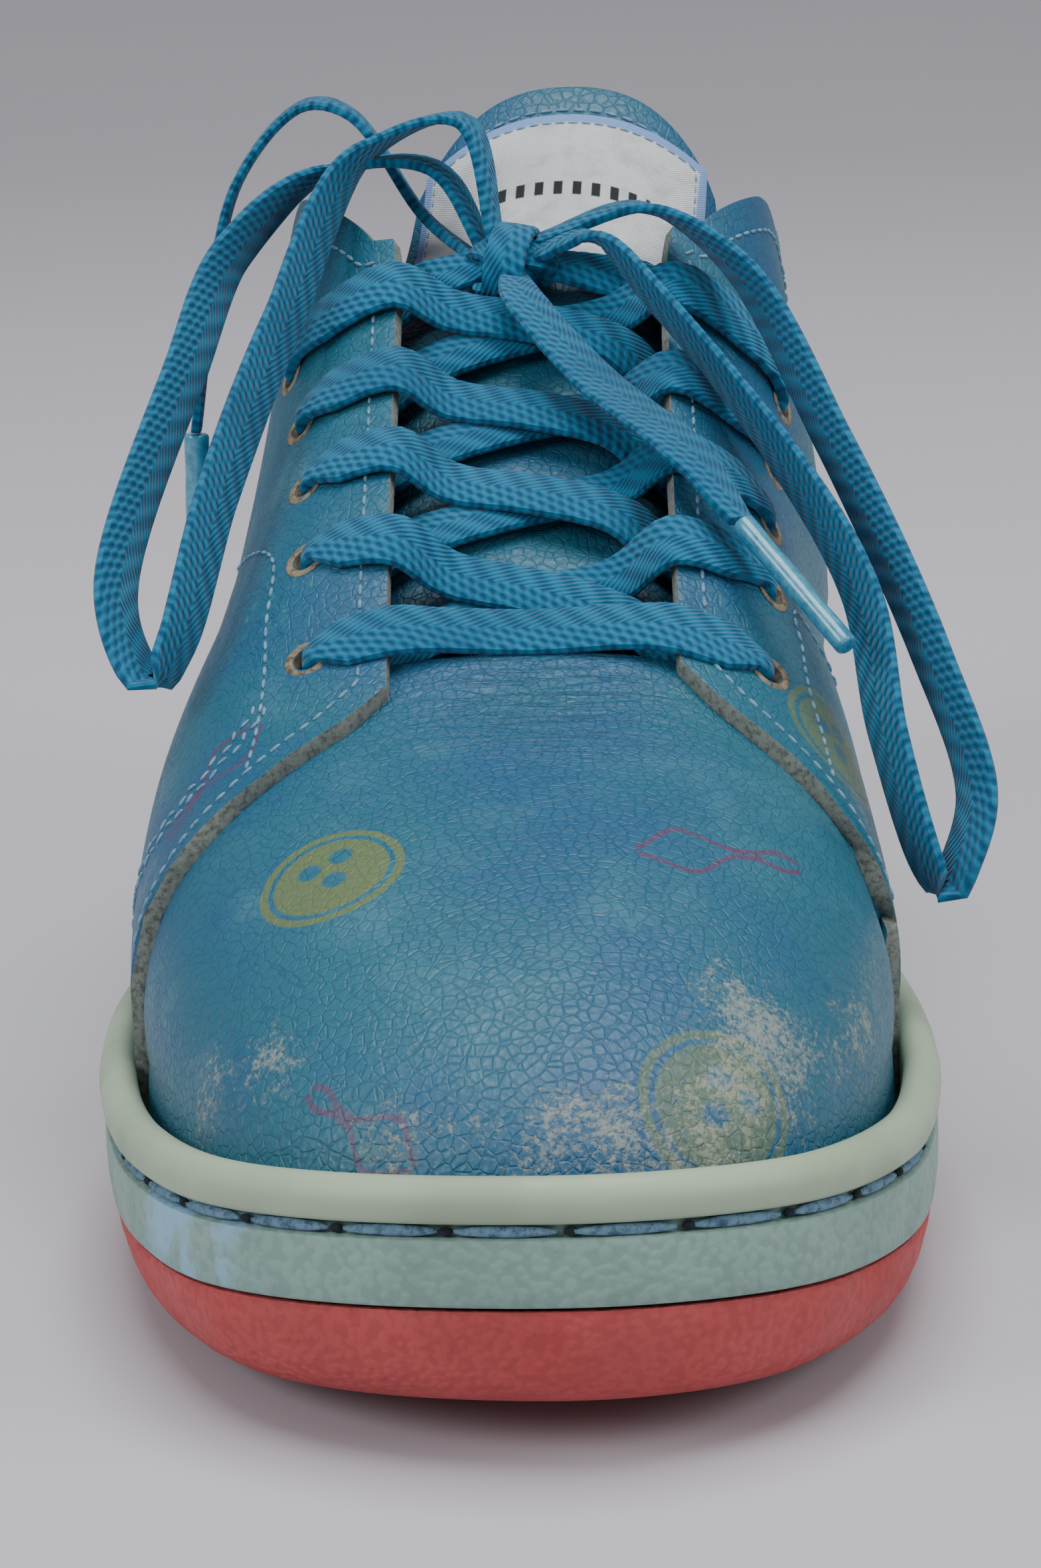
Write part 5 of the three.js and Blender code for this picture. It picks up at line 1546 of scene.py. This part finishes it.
SOLE_STITCH = 13.4
line, out = ring_line(1.25, STITCH_HEIGHT)
stitch_row(
    "sidewall_thread", line, out, SOLE_STITCH, SOLE_STITCH * 0.93, 0.72, "grey_thread", "sole_thread",
    stands_for=["sidewall_stitch"],
)
shift = int(900 * SOLE_STITCH / 2 / PERIMETER)
line, out = np.roll(line[:-1], shift, axis=0), np.roll(out[:-1], shift, axis=0)
# painted shade: near-black grains between the stitches stand for the shadow inside the needle holes
stitch_row("sidewall_holes", line, out, SOLE_STITCH, 1.8, 0.55, "grey_thread", "needle_hole_shade", sink=0.2)
print("sole stitches: %d" % (PERIMETER / SOLE_STITCH))

# %% [markdown]
# Seams in the upper follow the pattern's own edge at a sewing machine's distance. The line is
# stepped in from the edge along the leather and then dropped onto it, so it hugs every curve.

# %% Seams in the upper
REACH = 6.0  # how far outside the leather the search for it starts


def hug(piece, line, ways):
    """Drops a line onto the outside of a piece along its ways out, and gives the way out at each point."""
    tree = BVHTree.FromObject(piece, bpy.context.evaluated_depsgraph_get())
    points, outs = [], []
    for p, way in zip(line, ways):
        start = (Vector(p) + Vector((MIDDLE, 0, 0))) * MM + Vector(way) * REACH * MM
        spot, normal, *_ = tree.ray_cast(start, -Vector(way), 2.5 * REACH * MM)
        if spot is None:
            continue
        points.append(np.array(spot) / MM - (MIDDLE, 0, 0))
        outs.append(np.array(normal))
    return np.array(points), np.array(outs)


def step_in(edge, distance, inward_point):
    """The line at a distance inside an edge, along the leather."""
    edge = evenly(edge, max(40, int(run_of(edge)[-1] / 1.5)))
    along = unit(np.gradient(edge, axis=0))
    outs = unit(edge * (1, 0, 1) - (0, 0, SHOE_HEART[2]))
    inward = unit(np.cross(along, outs))
    flip = np.sign(((np.array(inward_point, float) - edge) * inward).sum(1))
    inward = inward * (np.sign(np.median(flip)) or 1.0)
    smooth_in = inward.copy()
    for _ in range(3):
        smooth_in[1:-1] = unit(smooth_in[:-2] + smooth_in[1:-1] + smooth_in[2:])
    return edge + smooth_in * distance, outs


SEAM_PITCH, SEAM_GRAIN, SEAM_THREAD = 2.4, 1.85, 0.27


def seam(name, piece, line, ways, body="shoe"):
    line, outs = hug(piece, line, ways)
    keep = np.concatenate([[True], np.linalg.norm(np.diff(line, axis=0), axis=1) > 0.05])
    line, outs = line[keep], outs[keep]
    stitch_row(name, line, outs, SEAM_PITCH, SEAM_GRAIN, SEAM_THREAD, "grey_thread", body=body)


bpy.context.view_layer.update()
for side, name in ((1, "medial"), (-1, "lateral")):
    piece = bpy.data.objects["quarter_leather_" + name]
    inner = np.array([side * 48.0, 0.0, 55.0])
    line, ways = step_in(EDGES[name], 3.4, inner)
    line, ways = line[3:-2], ways[3:-2]
    seam("edge_stitches_" + name, piece, line, ways)
print("edge seams done")

# %% [markdown]
# The tongue is three layers sewn round a foam pad. The leather on top is a sheet with the tongue's
# own crown, the pad below it is a closed soft form, and the label is sewn on near the tip. All of
# it swings with the tongue.

# %% Tongue
def tongue_grid(offset, shrink=0.0, crown=0.0):
    """Places over the whole tongue: 90 rows of 44, from the vamp to the tip."""
    v, s = np.linspace(-1, 1, 44), np.linspace(0, 1, 90)
    end = TONGUE_END - 5 * np.abs(v) ** 4 - shrink
    d = TONGUE_START + (end[None] - TONGUE_START) * s[:, None]
    vv = np.repeat(v[None], len(s), axis=0) * (1 - shrink / TONGUE_HALF)
    tip = np.clip((end[None] - d) / 6, 0, 1) ** 0.5
    puff = crown * (1 - np.abs(vv) ** 4) * tip * ease(0, 0.3, s)[:, None]
    return on_tongue(d, vv, offset + puff)


def facing_up(bm):
    if sum(f.normal.z for f in bm.faces) < 0:
        bmesh.ops.reverse_faces(bm, faces=bm.faces)


TONGUE_CROWN = 0.5
bm = grid(tongue_grid(0.0, crown=TONGUE_CROWN))
facing_up(bm)
tongue = shell(
    "tongue_cover", bm, "blue_leather", ["tongue_leather"], 1.2,
    ("blue_leather", "green_suede"), 0.4, "tongue",
)


def tongue_pad():
    top, low = tongue_grid(-1.4, shrink=0.6), tongue_grid(-6.2, shrink=0.6)
    rows, cols = top.shape[:2]
    middle = (top + low) / 2
    t = np.linspace(-1, 1, cols)
    s = np.linspace(-1, 1, rows)
    crown = ((1 - np.abs(t[None]) ** 6) * (1 - np.abs(s[:, None]) ** 14)) ** 0.4
    crown = np.clip(crown, 0.04, 1)[..., None]
    upper, under = middle + (top - middle) * crown, middle + (low - middle) * crown
    loop = np.concatenate([upper, under[:, ::-1], upper[:, :1]], axis=1)
    bm = grid(loop)
    bmesh.ops.holes_fill(bm, edges=[e for e in bm.edges if e.is_boundary])
    bmesh.ops.recalc_face_normals(bm, faces=bm.faces)
    return bm


pad = finished("tongue_padding", tongue_pad(), "coral_textile", ["tongue_foam", "tongue_lining"], "tongue")

label_end = TONGUE_END - 4
rows, cols = 18, 26
b = np.linspace(0, 1, rows)
d = (label_end - (1 - b) * LABEL_LENGTH / 1.42)[:, None] + np.zeros((rows, cols))
v = np.linspace(-0.5, 0.5, cols)[None] * LABEL_WIDTH / tongue_reach(d)
puff = TONGUE_CROWN * (1 - np.abs(v) ** 4) * np.clip((TONGUE_END - 5 * np.abs(v) ** 4 - d) / 6, 0, 1) ** 0.5
points = on_tongue(d, v, 0.75 + puff)
bm = grid(points)
uv = bm.loops.layers.uv["cut"]
size = np.array([run_of(points[:, cols // 2])[-1], run_of(points[rows // 2])[-1]]) * MM
for face in bm.faces:
    for loop in face.loops:
        a, c = loop[uv].uv
        loop[uv].uv = (c / size[1], a / size[0])
facing_up(bm)
shell("label_cloth", bm, "white_label", ["tongue_label"], 0.6, ("white_label",), 0.2, "tongue")


def border(points):
    return np.vstack([points[0], points[1:-1, -1], points[-1][::-1], points[1:-1, 0][::-1], points[:1, 0]])


inset = points[1:-1, 1:-1]
ring = evenly(border(inset), 120)
ways = np.repeat(unit(np.array([[0, -0.6, 0.8]])), len(ring), axis=0)
stitch_row("label_stitches", ring, ways, 1.9, 1.5, 0.16, "grey_thread", body="tongue")
d = np.linspace(TONGUE_START + 12, TONGUE_END - 7, 60)
left = on_tongue(d, np.full(60, -0.86), 0.1 + TONGUE_CROWN * 0.45)
right = on_tongue(d, np.full(60, 0.86), 0.1 + TONGUE_CROWN * 0.45)
v = np.linspace(-0.84, 0.84, 40)
top = on_tongue(TONGUE_END - 3.2 - 4.2 * np.abs(v) ** 4, v, 0.1 + TONGUE_CROWN * 0.55)
ring = evenly(np.vstack([left[:-2], top, right[::-1][2:]]), 160)
ways = np.repeat(unit(np.array([[0, -0.6, 0.8]])), len(ring), axis=0)
seam("tongue_stitches", tongue, ring, ways, body="tongue")

# %% [markdown]
# The remaining seams in the sides: a straight one along the foot of each stay, and on the outer
# side a scalloped double seam that runs down to the sole. Each is a few places on the leather,
# given across, from the toe and, where the wall is steep, up. They are joined by a smooth line.

# %% Side seams
def side_seam(name, piece, side, places, offset_in=0.0, wave=0.0, beats=0):
    """places are (across, from the toe) on top, or with a height too on the steep wall."""
    out = QUARTER[1] + RAW
    found = [
        nearest([p], side, out) if len(p) == 3 else surface_at(*np.array([p]).T, out) for p in places
    ]
    line = evenly(through([f[0][0] for f in found], 20), 120)
    share = np.linspace(0, 1, len(found))
    t = np.linspace(0, 1, len(line))
    ways = unit(np.column_stack([np.interp(t, share, [f[1][0][a] for f in found]) for a in range(3)]))
    sideways = unit(np.cross(ways, unit(np.gradient(line, axis=0))))
    line = line + sideways * (offset_in + wave * np.abs(np.sin(t * beats * math.pi)))[:, None]
    seam(name, piece, line, ways)


lateral = bpy.data.objects["quarter_leather_lateral"]
medial = bpy.data.objects["quarter_leather_medial"]
side_seam("stay_seam_lateral", lateral, -1, [
    (-37.5, 178), (-36.2, 160), (-34.6, 140), (-32.7, 122, 82.9), (-33.0, 109.4, 75.6),
    (-33.2, 98, 69), (-34.5, 84.1, 63),
])
side_seam("stay_seam_medial", medial, 1, [
    (46.5, 178), (43.2, 160), (39.8, 140), (36.6, 120.4, 74.4), (37.1, 114.3, 70.7), (37.5, 106.7, 67.2),
    (38.8, 98.6, 62.5), (39.9, 88.8, 58.7),
])
scallop = [
    (-34.3, 98.1, 68.4), (-38.8, 93, 63.4), (-43.5, 91.1, 57.5), (-48, 93.2, 50.9),
    (-51.5, 97, 43), (-53.5, 101, 35),
]
side_seam("scallop_seam_outer", lateral, -1, scallop, 0.0, 1.2, 9)
side_seam("scallop_seam_inner", lateral, -1, scallop, 2.2, 1.2, 9)
for name, piece in (("overlay", "heel_overlay_leather"), ("tab", "heel_tab_leather")):
    edge = EDGES[name]
    centre = np.array([0.0, 118.0 + 30, 30.0 if name == "overlay" else 65.0])
    line, ways = step_in(edge, 2.4, centre)
    ways = unit(line - np.array([[0, 90, 0]]) - line * (0, 0, 1))
    seam("%s_stitches" % name, bpy.data.objects[piece], line[4:-4], ways[4:-4])

# %% [markdown]
# Each eyelet is a bare punched hole. What shows is its rim, where the cut leather is pale and a
# little raised, so a thin torus of that colour lies round each hole.

# %% Eyelet rims
bm = bmesh.new()
bm.loops.layers.uv.new("cut")
for side in (1, -1):
    for row in range(EYELET_ROWS):
        x, d = eyelet_at(side, row)
        point, normal = surface_at(x, d, QUARTER[1] + RAW)
        made = bmesh.ops.create_circle(bm, segments=20, radius=EYELET_RADIUS * 0.86)["verts"]
        turn = Vector((0, 0, 1)).rotation_difference(Vector(normal)).to_matrix().to_4x4()
        edges = list({e for v in made for e in v.link_edges})
        rings = [edges]
        for scale_by, lift in ((1.16, 0.16), (1.16, 0.0), (1.14, -0.16)):
            new = bmesh.ops.extrude_edge_only(bm, edges=rings[-1])["geom"]
            verts = [g for g in new if isinstance(g, bmesh.types.BMVert)]
            bmesh.ops.scale(bm, vec=(scale_by, scale_by, 1), verts=verts)
            bmesh.ops.translate(bm, vec=(0, 0, lift), verts=verts)
            rings.append([g for g in new if isinstance(g, bmesh.types.BMEdge)])
            made = made + verts
        bmesh.ops.bridge_loops(bm, edges=[*rings[0], *rings[-1]])
        bmesh.ops.transform(bm, matrix=Matrix.Translation(Vector(point)) @ turn, verts=made)
bmesh.ops.recalc_face_normals(bm, faces=bm.faces)
finished("eyelet_rims", bm, "green_suede", (), "shoe", ("hole_rim",))
print("rims:", 2 * EYELET_ROWS)

# %% [markdown]
# A pale floor that curves up behind, and three soft lights: a broad one overhead and weaker ones
# from the left and the right, as in a simple product shot.

# %% Floor and lights
def soft_light(name, at, size, power, colour=(1, 1, 1)):
    data = bpy.data.lights.new(name, "AREA")
    data.shape = "DISK"
    data.size, data.energy, data.color = size, power, colour
    lamp = bpy.data.objects.new(name, data)
    lamp.location = at
    lamp.rotation_euler = (Vector((0, 0, 0.05)) - Vector(at)).to_track_quat("-Z", "Y").to_euler()
    bpy.context.scene.collection.objects.link(lamp)


def make_floor():
    bm = bmesh.new()
    profile = [bm.verts.new((-6, y, z)) for y, z in (
        (-6, 0), (1.2, 0), (1.6, 0.03), (1.95, 0.16), (2.2, 0.4), (2.35, 0.8), (2.4, 4))]
    edges = [bm.edges.new(pair) for pair in zip(profile, profile[1:])]
    made = bmesh.ops.extrude_edge_only(bm, edges=edges)["geom"]
    bmesh.ops.translate(bm, vec=(12, 0, 0), verts=[g for g in made if isinstance(g, bmesh.types.BMVert)])
    bmesh.ops.recalc_face_normals(bm, faces=bm.faces)
    mesh = bpy.data.meshes.new("floor")
    for face in bm.faces:
        face.smooth = True
    bm.to_mesh(mesh)
    bm.free()
    floor = bpy.data.objects.new("floor", mesh)
    bpy.context.scene.collection.objects.link(floor)
    f = Finish("paper", 0.85, Specular_IOR_Level=0.2)
    f.wear(f.mix(rgb("C9C8CE"), rgb("C3C2C9"), f.noise(3, 2)))
    mesh.materials.append(f.material)


make_floor()
soft_light("overhead", (0.1, -0.2, 1.5), 1.1, 20)
soft_light("left", (-1.2, -0.9, 0.9), 0.8, 11, (0.96, 0.98, 1))
soft_light("right", (1.2, -0.6, 0.8), 0.8, 7)
world = bpy.data.worlds.new("studio")
world.use_nodes = True
world.node_tree.nodes["Background"].inputs["Color"].default_value = (0.62, 0.62, 0.66, 1)
world.node_tree.nodes["Background"].inputs["Strength"].default_value = 0.47
bpy.context.scene.world = world
print("stage set")
